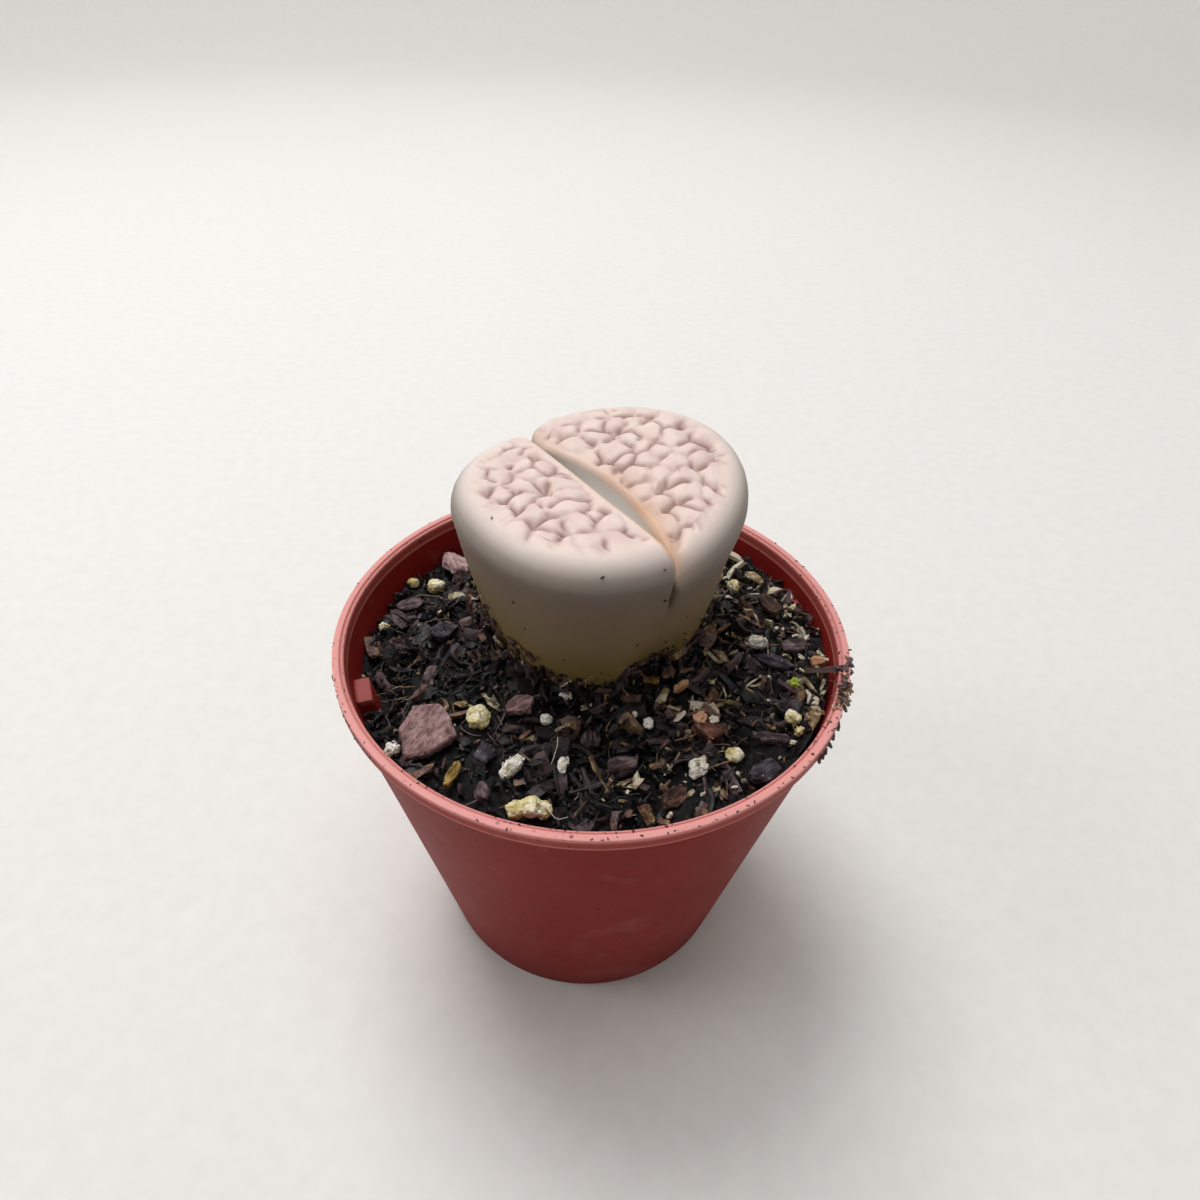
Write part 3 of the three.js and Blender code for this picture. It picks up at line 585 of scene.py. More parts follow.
flat = points[:, :2] - FISSURE_CENTRE
s = flat @ ALONG
across = flat @ OUTWARD
window, lip, fall, cleft = np.zeros((4, len(points)))
normals = np.empty(len(points) * 3)
lithops.data.vertices.foreach_get("normal", normals)
normals = normals.reshape(-1, 3)
first, second = nearest_pillows(x + 0.40 * wander(x, y, 1.4, 21) + 0.5 * wander(x, y, 4.0, 28),
                                y + 0.40 * wander(x, y, 1.4, 22) + 0.5 * wander(x, y, 4.0, 29))
crease = second - first
strength = eased(0.56 + 0.42 * wander(x, y, 0.95, 23) + 0.12 * wander(x, y, 3.1, 27), 0.2, 0.75)
for leaf in (FRONT_LEAF, BACK_LEAF):
    t = across * leaf["side"]
    mine = (t > -0.6) & (z > 50)
    plane = top_plane(leaf, s, t)
    from_middle = np.abs(s - leaf["middle"])
    oval = outline_level(leaf, s, t, leaf["half"], leaf["reach"])[2]
    from_edge = (1 - oval) * leaf["reach"] + 0.5 * wander(x, y, 2.2, 24)
    from_wall = t - wall_offset(leaf, s, 0.0, 0.0)
    on_top = mine & (plane - z < 2.2) & (normals[:, 2] > 0.35)
    window = np.where(on_top, eased(from_edge, 1.7, 3.6) * eased(from_wall, 0.35, 1.4), window)
    lip_width, left_tint, notch_tint = leaf["lip"]
    lip_width = lip_width * (1 + 0.45 * wander(x, y, 2.6, 30))
    tint = left_tint + (notch_tint - left_tint) * eased(s, -6, 12)
    lip = np.where(mine & (plane - z < 2.5), np.exp(-(np.maximum(from_wall, 0) / lip_width) ** 2)
                   * tint * eased(15.4 - from_middle, 0.2, 2.0), lip)
    fall = np.where(t > 0, np.clip((plane - CROWN - z) / (plane - PLANT_LEVEL), 0, 1), fall)
    # The fissure's walls and its bottom, up to where it closes at its ends: here the skin is
    # painted pale, as painted light.
    facing = -(normals[:, :2] @ OUTWARD) * leaf["side"]
    inside_cleft = ((facing > 0.45) & (from_wall < 1.2)) | (
        (np.abs(across) < 2.4) & (from_middle < 9.5) & (plane - z > 1.2) & (z > 53))
    cleft_end = leaf["half"] - 2.2
    cleft = np.where(mine & inside_cleft & (from_middle < cleft_end), eased(plane - z, 0.6, 1.6)
                     * (1 - eased(from_middle, leaf["half"] - 5.5, cleft_end)), cleft)
sides = np.clip(1 - crease / 1.2, 0, 1)
relief = -(0.28 + 0.72 * strength) * (
    0.55 * np.clip(first / 2.0, 0, 1.1) ** 3 + 0.45 * sides ** 2)
for sweep in range(3):
    relief += 0.5 * (mean_beside(relief) - relief)
relief *= NET_DEPTH * window
net = (0.13 * np.exp(-(crease / 1.0) ** 2)
       + strength ** 2 * 0.62 * np.exp(-(crease / 0.4) ** 2)) * window
z += relief + 0.05 * wander(x, y, 1.1, 25) * window
points[:, :2] += 0.12 * (wander(z, s, 6.0, 26) * eased(fall, 0.1, 0.4))[:, None] * normals[:, :2]
write_points(lithops, points)
values = {"net": net, "window": window, "lip": lip, "fall": fall, "cleft": cleft}
for name in values:
    keep_value(lithops, name, values[name])
smooth(lithops, 50)

# Leaf skin under its bloom of wax: matt and slightly see-through, creamy on top, and painted darker
# down its sides as shade.
leaf_skin, node = new_finish("waxed_leaf_skin")
place = node("TexCoord", "Object")
net_value, window_value, lip_value, fall_value, cleft_painted_light = (
    node("Attribute", "Fac", attribute_name=name) for name in values)
mottle = node("TexNoise", Scale=420.0, Detail=4.0, Roughness=0.6, Vector=place)
cloud = node("TexNoise", Scale=140.0, Detail=2.0, Vector=place)
# Down the side the skin darkens fast below the shoulder, as painted shade, then turns olive toward
# the foot.
side = node("ValToRGB", Fac=fall_value, stops=(
    (0.0, "#ead8cf"), (0.03, "#d7cbc4"), (0.08, "#9b9087"), (0.14, "#6f645b"),
    (0.3, "#786a5a"), (0.6, "#867557"), (0.82, "#917f49"), (1.0, "#8a7837")))
pillow = node("ValToRGB", Fac=mottle, stops=((0.35, "#dfc8c0"), (0.65, "#ead6ce")))
# The fissure has tan lips, its walls are painted pale as painted light, and the creases are brown,
# darkest in their cores.
tan_share = node("Math", operation="MULTIPLY", i0=lip_value, i1=0.9)
tan = node("ValToRGB", Fac=cloud, stops=((0.4, "#d9b091"), (0.6, "#c8946b")))
groove = node("ValToRGB", Fac=cloud, stops=((0.35, "#94686a"), (0.65, "#a07263")))
core = node("MapRange", From_Min=0.62, From_Max=0.95, To_Max=0.8, Value=net_value)
# Soil has dried on as a brown film near the foot.
smear = node("TexNoise", Scale=380.0, Detail=5.0, Roughness=0.65, Vector=place)
low_down = node("MapRange", From_Min=0.78, From_Max=1.0, To_Min=-0.22, To_Max=0.2, Value=fall_value)
soiled = node("Math", operation="ADD", i0=low_down, i1=smear)
film = node("MapRange", From_Min=0.46, From_Max=0.66, To_Max=0.7, Value=soiled)
skin = side
for share, over in ((window_value, pillow), (tan_share, tan), (cleft_painted_light, "#dfdcd8"),
                    (net_value, groove), (core, "#5a3c3c"), (film, "#463620")):
    skin = node("Mix", 2, data_type="RGBA", i0=share, i6=skin, i7=over)
fine = node("TexNoise", Scale=3200.0, Detail=3.0, Vector=place)
pores = node("Bump", Strength=0.10, Distance=0.0001, Height=fine)
node("OutputMaterial", Surface=node(
    "BsdfPrincipled", Roughness=0.52, IOR=1.42, Subsurface_Weight=0.22,
    Subsurface_Radius=(1.0, 0.62, 0.42), Subsurface_Scale=0.0014, Base_Color=skin, Normal=pores))
lithops.data.materials.clear()
lithops.data.materials.append(leaf_skin)
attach(lithops, "root")
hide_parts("lithops")


# ---- Soil -----------------------------------------------------------------------------------
# A damp, black cactus mix: peat crumbs bound by fine roots, with shredded bark all through it.
# The bed fills the pot to a few millimetres below the rim and is mounded round the plant's neck.

SOIL_LEVEL = 40.8
SOIL_FOOT = 2.8
RIB_PIT = (-23, -8)    # the pit beside the wall's ribs


def soil_height(x, y):
    lumps = 0.55 * wander(x, y, 5.5, 11) + 0.35 * wander(x, y, 2.4, 12)
    mound = 1.9 * (1 - eased(np.hypot(x - FOOT_CENTRE[0], y - FOOT_CENTRE[1]), 10, 16.5))
    hollow = 1.6 * np.exp(-((x + 21) ** 2 + (y + 4) ** 2) / 22)
    return SOIL_LEVEL + 0.045 * x - 0.04 * y + lumps + mound - hollow


def crumbled(x, y):
    """The lumps and pits of the soil's surface, in millimetres above or below its height."""
    pit = 2.2 * np.exp(-((x - RIB_PIT[0]) ** 2 + (y - RIB_PIT[1]) ** 2) / 9)
    return (0.62 * wander(x, y, 2.1, 31) + 0.45 * wander(x, y, 1.0, 32)
            + 0.25 * wander(x, y, 0.55, 33) + 0.12 * wander(x, y, 0.32, 34) - 0.55 - pit)


soil, round_x, round_y, row = skirted_disc("soil_bed", 170, 170, 3)
surface_radius = inside_radius(41 * MM) / MM - 0.12
x, y = round_x * surface_radius, round_y * surface_radius
level = np.choose(row, (soil_height(x, y) + crumbled(x, y), 38.0, 36.0, SOIL_FOOT))
shrink = np.where(row > 0, (inside_radius(level * MM) / MM - 0.35) / surface_radius, 1)
write_points(soil, np.stack([x * shrink, y * shrink, level], axis=1))
face_outwards(soil)
smooth(soil, 60)

# Damp peat: almost black, with a dull gleam on its wet crumbs.
peat, node = new_finish("damp_peat")
place = node("TexCoord", "Object")
patches = node("TexNoise", Scale=1100.0, Detail=6.0, Roughness=0.7, Vector=place)
colour = node("ValToRGB", Fac=patches, stops=(
    (0.4, "#030303"), (0.55, "#0b0808"), (0.68, "#1c1513"), (0.8, "#3a2b22")))
wet = node("MapRange", From_Min=0.4, From_Max=0.62, To_Min=0.3, To_Max=0.8, Value=patches)
clods = node("TexNoise", Scale=2400.0, Detail=5.0, Roughness=0.7, Vector=place)
rough = node("Bump", Strength=0.9, Distance=0.0003, Height=clods)
node("OutputMaterial", Surface=node("BsdfPrincipled", Specular_IOR_Level=0.35, Base_Color=colour,
                                    Roughness=wet, Normal=rough))
soil.data.materials.append(peat)
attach(soil, "root")
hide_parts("soil")


# ---- Shredded bark, crumbs and roots in the soil ----------------------------------------------
# The loose surface of the mix: flakes and splinters of shredded bark, crumbs of peat, and fine
# dead roots. They lie half sunk at all angles, most of them nearly black with damp.

STREWN_RADIUS = 25.4
STREWN_EDGE = 25.9
ROOT_EDGE = 25.7
ROOT_STEPS = 9
NECK_CLEAR = 9.4      # how far loose bits stay from the neck's middle, and from the rib's pit
PIT_CLEAR = 2.6


def mould(name, sides, cuts, seed, taper, rough, bow=0.0):
    """One small rough shape about 1 long, 1 wide and 1 thick, to be copied many times."""
    shape = fresh(bpy.ops.mesh.primitive_cylinder_add, name, vertices=sides, radius=0.5, depth=1,
                  location=(0, 0, 0))
    bpy.ops.object.mode_set(mode="EDIT")
    for end in (1, -1):
        select_faces(shape, lambda centre, normal: normal.z * end > 0.9)
        bpy.ops.transform.resize(value=(taper, taper, 1), center_override=(0, 0, 0.5 * end))
    bpy.ops.mesh.select_all(action="SELECT")
    shell = bmesh.from_edit_mesh(shape.data)
    upright = [edge for edge in shell.edges if abs(edge.verts[0].co.z - edge.verts[1].co.z) > 0.5]
    bmesh.ops.subdivide_edges(shell, edges=upright, cuts=cuts, use_grid_fill=False)
    for vertex in shell.verts:
        swell = 1 + (1 - taper) * (1 - 2 * abs(vertex.co.z)) * 0.6
        vertex.co.x *= swell
        vertex.co.y *= swell
    bmesh.update_edit_mesh(shape.data)
    bpy.ops.mesh.select_all(action="SELECT")
    bpy.ops.transform.vertex_random(offset=rough, seed=seed)
    bpy.ops.mesh.quads_convert_to_tris()
    bpy.ops.object.mode_set(mode="OBJECT")
    shape.data.transform(Matrix.Rotation(math.pi / 2, 4, "Y"))
    points = read_points(shape, 1)
    points[:, 2] += bow * (0.25 - points[:, 0] ** 2) * 4
    faces = np.array([list(face.vertices) for face in shape.data.polygons])
    bpy.data.objects.remove(shape)
    return points, faces


def turned_by(roll, pitch, heading):
    return np.array((Matrix.Rotation(heading, 3, "Z") @ Matrix.Rotation(pitch, 3, "Y")
                     @ Matrix.Rotation(roll, 3, "X")))


def strewn(name, copies):
    """One piece from many copies: each is (mould, size, turn as a 3 by 3 matrix, place, tone)."""
    all_points, all_faces, tones = [], [], []
    start = 0
    for (points, faces), size, turn, place, shade in copies:
        all_points.append((points * size) @ turn.T + place)
        all_faces.append(faces + start)
        tones.append(np.full(len(points), shade))
        start += len(points)
    mesh = bpy.data.meshes.new(name)
    mesh.from_pydata((np.concatenate(all_points) * MM).tolist(), [],
                     np.concatenate(all_faces).tolist())
    piece = bpy.data.objects.new(name, mesh)
    bpy.context.scene.collection.objects.link(piece)
    keep_value(piece, "tone", np.concatenate(tones))
    return piece


FLAKES = [mould("flake", 6, 2, seed, 0.72, 0.2, 0.3 * (-1) ** seed) for seed in range(1, 13)]
SPLINTERS = [mould("splinter", 4, 3, seed, 0.55, 0.14, 0.2 * (-1) ** seed) for seed in range(1, 9)]
CRUMBS = [mould("crumb", 5, 1, seed, 0.55, 0.17) for seed in range(1, 9)]

chip_places = []
for name in frame["nodes"]:
    if name not in ("pot", "soil", "lithops"):
        low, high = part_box(name)
        middle = (low + high) / 2 / MM
        chip_places.append((middle.x, middle.y, (high - low).xy.length / 2 / MM))
chip_x, chip_y, chip_reach = np.array(chip_places).T

rng = np.random.default_rng(7)
between = rng.uniform


def soil_spot(reach, margin):
    """A place on the soil clear of the plant and of the larger chips, or None."""
    radius = STREWN_RADIUS * math.sqrt(rng.random())
    heading = rng.random() * 2 * math.pi
    x, y = radius * math.cos(heading), radius * math.sin(heading)
    clear = (radius + reach <= STREWN_EDGE
             and math.hypot(x - FOOT_CENTRE[0], y - FOOT_CENTRE[1]) >= NECK_CLEAR
             and math.hypot(x - RIB_PIT[0], y - RIB_PIT[1]) >= PIT_CLEAR
             and (np.hypot(chip_x - x, chip_y - y) - chip_reach * 0.72 - margin).min() >= 0)
    return (x, y) if clear else None


def shade_near(middle, spread, palest=1):
    """A tone of bark near a middle one: 0 is black with damp, 1 is bone pale."""
    return float(np.clip(rng.normal(middle, spread), 0, palest))


def strew(moulds, count, lengths, widths, thicknesses, sunk, tilt, tones):
    """Copies for strewn(), with ranges of length, its shares across and through, and lift."""
    copies = []
    while len(copies) < count:
        length = between(*lengths) * between(0.55, 1)
        spot = soil_spot(length * 0.42, length * 0.3)
        if spot is None:
            continue
        size = np.array([length, length * between(*widths), length * between(*thicknesses)])
        turn = turned_by(rng.normal(0, tilt), rng.normal(0, tilt * 0.7), between(0, math.tau))
        height = soil_height(*spot) + crumbled(*spot) * 0.6 + between(*sunk)
        # The bits at the right are painted lighter, and more of them pale, as painted light.
        rightward = max(spot[0], 0)
        dark = rng.random() > 0.06 + 0.008 * rightward
        shade = shade_near(*tones, palest=0.8) if dark else between(0.75, 1)
        copies.append((moulds[rng.integers(len(moulds))], size, turn, np.array([*spot, height]),
                       shade + 0.0065 * rightward))
    return copies


bark_shreds = strewn("shredded_bark", (
    strew(FLAKES, 640, (1.4, 4.0), (0.45, 0.85), (0.14, 0.34), (-0.1, 0.7), 0.75, (0.47, 0.25))
    + strew(SPLINTERS, 420, (1.5, 4.8), (0.10, 0.22), (0.07, 0.16), (0.0, 0.8), 0.5, (0.45, 0.26))))
peat_crumbs = strewn("peat_crumbs", strew(
    CRUMBS, 3400, (0.3, 1.2), (0.6, 1.0), (0.5, 0.9), (-0.3, 0.6), 1.2, (0.38, 0.22)))

# Shredded bark: fibrous and flaky, dark with damp, paler and browner where it has dried; the tones
# of the strewn bits are also raised toward the right, as painted light.
mulch, node = new_finish("shredded_bark")
place = node("TexCoord", "Object")
streak = node("TexNoise", Scale=1500.0, Detail=5.0, Roughness=0.65, Distortion=0.6, Vector=place)
shift = node("MapRange", From_Min=0.3, From_Max=0.7, To_Min=-0.14, To_Max=0.14, Value=streak)
varied = node("Math", operation="ADD", i0=node("Attribute", "Fac", attribute_name="tone"), i1=shift)
colour = node("ValToRGB", Fac=varied, stops=(
    (0.15, "#050405"), (0.38, "#100c0d"), (0.52, "#221a1c"), (0.63, "#3b2d30"), (0.72, "#57454a"),
    (0.8, "#694c42"), (0.87, "#8a6a48"), (0.93, "#9c8f60"), (1.0, "#d8ccb6")))
damp = node("MapRange", From_Min=0.35, From_Max=0.65, To_Min=0.28, To_Max=0.7, Value=streak)
fibres = node("Bump", Strength=0.7, Distance=0.0002, Height=streak)
node("OutputMaterial", Surface=node("BsdfPrincipled", Specular_IOR_Level=0.4, Base_Color=colour,
                                    Roughness=damp, Normal=fibres))


def fine_root(start, heading, length, thickness, sag):
    """A thin root as a three-sided tube along a wandering line, as (points, faces)."""
    place = np.array(start, dtype=float)
    spine = [place]
    for step in range(ROOT_STEPS):
        heading = heading + rng.normal(0, 0.33)
        way = np.array([math.cos(heading), math.sin(heading), rng.normal(sag, 0.22)])
        place = place + way * length / ROOT_STEPS
        spine.append(place)
    points, faces = [], []
    for step in range(ROOT_STEPS + 1):
        forward = spine[min(step + 1, ROOT_STEPS)] - spine[max(step - 1, 0)]
        forward /= np.linalg.norm(forward)
        beside = np.cross(forward, (0, 0, 1))
        beside /= max(np.linalg.norm(beside), 1e-6)
        over = np.cross(beside, forward)
        girth = thickness * (1 - 0.6 * step / ROOT_STEPS)
        for turn in (0.5, 2.6, 4.7):
            points.append(spine[step] + girth * (math.cos(turn) * beside + math.sin(turn) * over))
    for step in range(ROOT_STEPS):
        for corner in range(3):
            low, high = step * 3 + corner, step * 3 + (corner + 1) % 3
            faces += [[low, high, high + 3], [low, high + 3, low + 3]]
    last = ROOT_STEPS * 3
    faces += [[2, 1, 0], [last, last + 1, last + 2]]
    return np.array(points), np.array(faces)


def as_grown(made, shade):
    """A fine root for strewn(), where and as it was made."""
    return made, 1.0, np.eye(3), np.zeros(3), shade


root_copies = []
while len(root_copies) < 190:
    spot = soil_spot(2.5, 0.2)
    if spot is None:
        continue
    made = fine_root((*spot, soil_height(*spot) + between(0, 0.5)), between(0, math.tau),
                     between(2.0, 5.5), between(0.035, 0.09), between(-0.12, 0.1))
    if np.hypot(made[0][:, 0], made[0][:, 1]).max() < ROOT_EDGE:
        root_copies.append(as_grown(made, shade_near(0.64, 0.18, 0.87)))
# Two white hairs stand out of the mix near the front.
for start, heading, length, sag in (((-4.1, -22.9, 43.2), -0.3, 3.6, 0.0),
                                    ((-2.8, -16.2, 43.7), -1.5, 2.4, -0.7)):
    root_copies.append(as_grown(fine_root(start, heading, length, 0.05, sag), 1.0))
fine_roots = strewn("fine_roots", root_copies)

for piece in (bark_shreds, peat_crumbs, fine_roots):
    piece.data.materials.append(mulch)
    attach(piece, "root")


# ---- Bark chips and splinters ------------------------------------------------------------------
# The larger chips of pine bark and wood that lie on the soil. They were broken and shredded, not
# cut, so their faces are ridged along the grain and their edges are ragged.

CHIP_VOXEL = 0.09
PLATE_LEAN = math.radians(16)
PLATE_STRETCH = (0.96, 1.2, 1.0, 1.0)


def from_solid(node_name, voxel, melt):
    """A fine copy of a CAD solid, in millimetres, remeshed and with its corners melted a little."""
    piece = bpy.data.objects.new(node_name + "_finished", frame["nodes"][node_name].data.copy())
    bpy.context.scene.collection.objects.link(piece)
    piece.data.materials.clear()
    piece.data.transform(Matrix.Scale(1 / MM, 4))
    only(piece)
    bpy.ops.object.mode_set(mode="EDIT")
    bpy.ops.mesh.select_all(action="SELECT")
    bpy.ops.mesh.remove_doubles(threshold=0.001)
    bpy.ops.object.mode_set(mode="OBJECT")
    shape_by(piece, "REMESH", mode="VOXEL", voxel_size=voxel)
    shape_by(piece, "SMOOTH", factor=0.4, iterations=melt)
    return piece


def carve(piece, push):
    """Moves each point along its normal by push(point), and turns the millimetres to metres."""
    moves = [push(vertex.co) for vertex in piece.data.vertices]
    for vertex, move in zip(piece.data.vertices, moves):
        vertex.co += vertex.normal * move
    piece.data.transform(Matrix.Scale(MM, 4))
    piece.data.update()
    smooth(piece, 55)


def grain_axes(piece):
    """A chip's directions along its grain, across it and through it."""
    points = read_points(piece, 1)
    values, directions = np.linalg.eigh(np.cov((points - points.mean(axis=0)).T))
    return [Vector(directions[:, axis]) for axis in (2, 1, 0)]


def bark_finish(name, dark, middle, pale):
    """Broken pine bark: dull and fibrous, streaked along the grain, with pale dust on it."""
    finish, node = new_finish(name)
    place = node("TexCoord", "Object")
    ridge_value = node("Attribute", "Fac", attribute_name="ridge")
    coarse = node("TexNoise", Scale=700.0, Detail=6.0, Roughness=0.7, Distortion=0.5, Vector=place)
    mixed = node("Math", operation="ADD", i0=ridge_value, i1=coarse)
    colour = node("ValToRGB", Fac=mixed, stops=((0.45, dark), (0.7, middle), (0.95, pale)))
    dust = node("TexVoronoi", Scale=1900.0, Vector=place)
    dust_patch = node("TexNoise", Scale=500.0, Vector=place)
    grains_seen = node("MapRange", From_Min=0.16, From_Max=0.1, Value=dust)
    where = node("MapRange", From_Min=0.52, From_Max=0.6, To_Max=0.7, Value=dust_patch)
    share = node("Math", operation="MULTIPLY", i0=grains_seen, i1=where)
    dusted = node("Mix", 2, data_type="RGBA", i0=share, i6=colour, i7="#cfc2b4")
    bump = node("Bump", Strength=0.8, Distance=0.0003, Height=coarse)
    node("OutputMaterial", Surface=node(
        "BsdfPrincipled", Roughness=0.78, Specular_IOR_Level=0.3, Base_Color=dusted, Normal=bump))
    return finish


BARK_FINISHES = {
    "bark_mauve": bark_finish("mauve_bark", "#6a504e", "#977775", "#b39694"),
    "bark_pink": bark_finish("pinkish_bark", "#7d6364", "#a98a89", "#c4aaa8"),
    "bark_dusky": bark_finish("dusky_bark", "#2f2426", "#574549", "#84706f"),
    "bark_slate_grey": bark_finish("slaty_bark", "#1d1a1e", "#38333a", "#5f5861"),
    "bark_brown": bark_finish("brown_bark", "#2b1c17", "#51382e", "#7c5c4b"),
    "bark_rust": bark_finish("rusty_bark", "#3c2320", "#6b4137", "#9c7362"),
    "wood_tan": bark_finish("tan_wood", "#a3714f", "#d0a07c", "#ecc8a6"),
    "wood_oak": bark_finish("old_wood", "#5a431c", "#8e7338", "#b39a58"),
}
SLOT_OF = {entry["node"]: entry["material_slot"] for entry in frame["record"]["subparts"]}

for number, (node_name, slot) in enumerate(sorted(SLOT_OF.items())):
    if slot not in BARK_FINISHES:
        continue
    piece = from_solid(node_name, CHIP_VOXEL, 1)
    seed = Vector((number * 7.3, number * 3.1, 0))
    grooved = 0.75
    # The large plate is worn smoother, and leans up toward the front.
    if node_name == "bark_plate":
        grooved = 0.3
        corners = [vertex.co for vertex in piece.data.vertices]
        middle = sum(corners, Vector()) / len(corners)
        lean = Matrix.Rotation(PLATE_LEAN, 4, "X") @ Matrix.Diagonal(PLATE_STRETCH)
        piece.data.transform(Matrix.Translation(middle + Vector((0, 0, 0.5))) @ lean
                             @ Matrix.Translation(-middle))
    along_grain, over_grain, through = grain_axes(piece)

    def to_split(co, across):
        """How far a point is from a split along the grain."""
        lined = Vector((co.dot(along_grain) * 0.45, co.dot(over_grain) * across,
                        co.dot(through) * across))
        return abs(noise.noise(lined + seed))

    def ridged(co):
        splits = grooved * 0.20 * (0.22 - to_split(co, 1.8)) + 0.10 * (0.2 - to_split(co, 4.2))
        return (splits + noise.noise(co * 0.8 + seed) * 0.14 + noise.noise(co * 2.4 + seed) * 0.11
                + noise.noise(co * 7 + seed) * 0.04)

    def streaked(co):
        splits = grooved * (0.9 * (0.16 - to_split(co, 1.8)) + 0.5 * (0.16 - to_split(co, 4.2)))
        return splits + noise.noise(co * 1.1 + seed) * 0.22

    ridges = np.array([streaked(vertex.co) for vertex in piece.data.vertices])
    carve(piece, ridged)
    keep_value(piece, "ridge", 0.2 + ridges)
    piece.data.materials.append(BARK_FINISHES[slot])
    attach(piece, "root")
    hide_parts(node_name)


# ---- Pumice and perlite -------------------------------------------------------------------------
# Light grains in the mix: cream pumice and white perlite, both full of burst bubbles. They have a
# knobbly, pitted skin, and some are stained yellow by algae and dust.

GRAIN_VOXEL = 0.075


def grain_finish(name, shade, body, pale):
    """Foamed volcanic glass: chalky, and darker in its pits."""
    finish, node = new_finish(name)
    place = node("TexCoord", "Object")
    pit_value = node("Attribute", "Fac", attribute_name="pit")
    stain = node("TexNoise", Scale=800.0, Detail=4.0, Vector=place)
    colour = node("ValToRGB", Fac=stain, stops=((0.34, shade), (0.5, body), (0.62, pale)))
    pitted = node("Mix", 2, data_type="RGBA", i0=pit_value, i6=colour, i7="#6a5a3a")
    bubbles = node("TexVoronoi", Scale=3600.0, Vector=place)
    bump = node("Bump", Strength=0.7, Distance=0.00015, Height=bubbles)
    node("OutputMaterial", Surface=node(
        "BsdfPrincipled", Roughness=0.85, Specular_IOR_Level=0.3, Subsurface_Weight=0.15,
        Subsurface_Radius=(1.0, 0.9, 0.7), Subsurface_Scale=0.0005, Base_Color=pitted, Normal=bump))
    return finish


GRAIN_FINISHES = {
    "pumice": grain_finish("cream_pumice", "#c4b06c", "#e0d3a2", "#f2ead2"),
    "perlite": grain_finish("white_perlite", "#cfc5ae", "#e6e0d2", "#f6f3ee"),
}

for number, (node_name, slot) in enumerate(sorted(SLOT_OF.items())):
    if slot not in GRAIN_FINISHES:
        continue
    piece = from_solid(node_name, GRAIN_VOXEL, 2)
    seed = Vector((number * 5.7, 2.0, number * 1.9))

    def from_bubble(co):
        return noise.voronoi(co * 2.2 + seed)[0][0]

    pits = [max(0.0, min(1.0, (from_bubble(vertex.co) - 0.62) * 2.4))
            for vertex in piece.data.vertices]
    carve(piece, lambda co: (0.22 * noise.noise(co * 1.1 + seed) + 0.13 * (0.45 - from_bubble(co))
                             + 0.07 * noise.noise(co * 4.5 + seed)))
    keep_value(piece, "pit", np.array(pits))
    piece.data.materials.append(GRAIN_FINISHES[slot])
    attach(piece, "root")
    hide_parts(node_name)


# ---- Small grains -------------------------------------------------------------------------------
# The smallest crumbs of pumice and perlite that can still be told apart, and a green bud of moss.
# They are about a millimetre across.

# Moss: a soft yellow-green, mottled by its tiny leaves.
moss, node = new_finish("moss_bud")
fuzz = node("TexNoise", Scale=3000.0, Detail=3.0, Vector=node("TexCoord", "Object"))
green = node("ValToRGB", Fac=fuzz, stops=((0.35, "#7c9226"), (0.65, "#b4c44a")))
node("OutputMaterial", Surface=node("BsdfPrincipled", Roughness=0.8, Base_Color=green))

# Each: its place, how large it is, how far it stands out of the soil, and its slot.
for number, (grain_name, x, y, size, rise, slot) in enumerate((
        ("pumice_bit", -17.6, 5.0, 1.2, 0.3, "pumice"),
        ("pumice_greenish", 12.6, -6.2, 1.1, 0.3, "pumice"),
        ("pumice_by_wall", -24.0, 2.6, 1.2, 0.3, "pumice"),
        ("perlite_by_plant", -2.4, -9.4, 1.0, 0.4, "perlite"),
        ("perlite_by_rim", -18.7, -16.3, 1.3, 0.5, "perlite"),
        ("perlite_bit", 4.6, -12.0, 0.6, 0.4, "perlite"),
        ("perlite_on_bark", 12.2, -12.9, 0.8, 1.4, "perlite"),
        ("wood_crumb", 10.9, -12.6, 1.2, 1.3, "wood_tan"),
        ("moss_bud", 21.2, -6.6, 1.0, 0.5, "potting_soil"))):
    piece = fresh(bpy.ops.mesh.primitive_ico_sphere_add, grain_name, subdivisions=4, radius=0.5,
                  location=(0, 0, 0))
    piece.data.transform(
        Matrix.Translation((x, y, soil_height(x, y) + rise)) @ Matrix.Rotation(number, 4, "Z")
        @ Matrix.Diagonal((size * 1.15, size * 0.9, size * 0.85, 1)))
    seed = Vector((number * 3.7, 1.0, number * 2.9))
    carve(piece, lambda co: size * (0.32 * noise.noise(co * 2.4 / size + seed)
                                    + 0.12 * noise.noise(co * 6 / size + seed)))
    keep_value(piece, "pit", np.zeros(len(piece.data.vertices)))
    keep_value(piece, "ridge", np.full(len(piece.data.vertices), 0.3))
    finishes = {**BARK_FINISHES, **GRAIN_FINISHES, "potting_soil": moss}
    piece.data.materials.append(finishes[slot])
    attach(piece, "root")


# ---- Dirt on the plant and the pot ---------------------------------------------------------------
# Soil that splashed and dried on: crumbs and root hairs against the plant's neck, specks on its
# sides, a crust along the rim, and bits of root and a twig over the rim at the right.

SPLASHED_FROM = 40.9
SPLASHED_TO = 50
HAIRS_FROM, HAIRS_TO = 41.5, 47.5
RIM_TOP = 44
RIM_EDGE = 27.5


def on_surface(piece, start, aim):
    """Where a line from a point toward another first meets a piece: place and normal, or None."""
    origin = Vector(start) * MM
    way = (Vector(aim) * MM - origin).normalized()
    met, place, normal, face = piece.ray_cast(origin, way)
    return (np.array(place) / MM, np.array(normal)) if met else None


def beside_axis(piece, centre, reach, heading, level):
    """Where a level line toward an upright axis, from outside, first meets a piece."""
    x, y = centre
    outside = (x + reach * math.cos(heading), y + reach * math.sin(heading), level)
    return on_surface(piece, outside, (x, y, level))


def on_plant(heading, level):
    return beside_axis(lithops, FOOT_CENTRE, 30, heading, level)


def on_wall(heading, level):
    return beside_axis(pot, (0, 0), 40, heading, level)


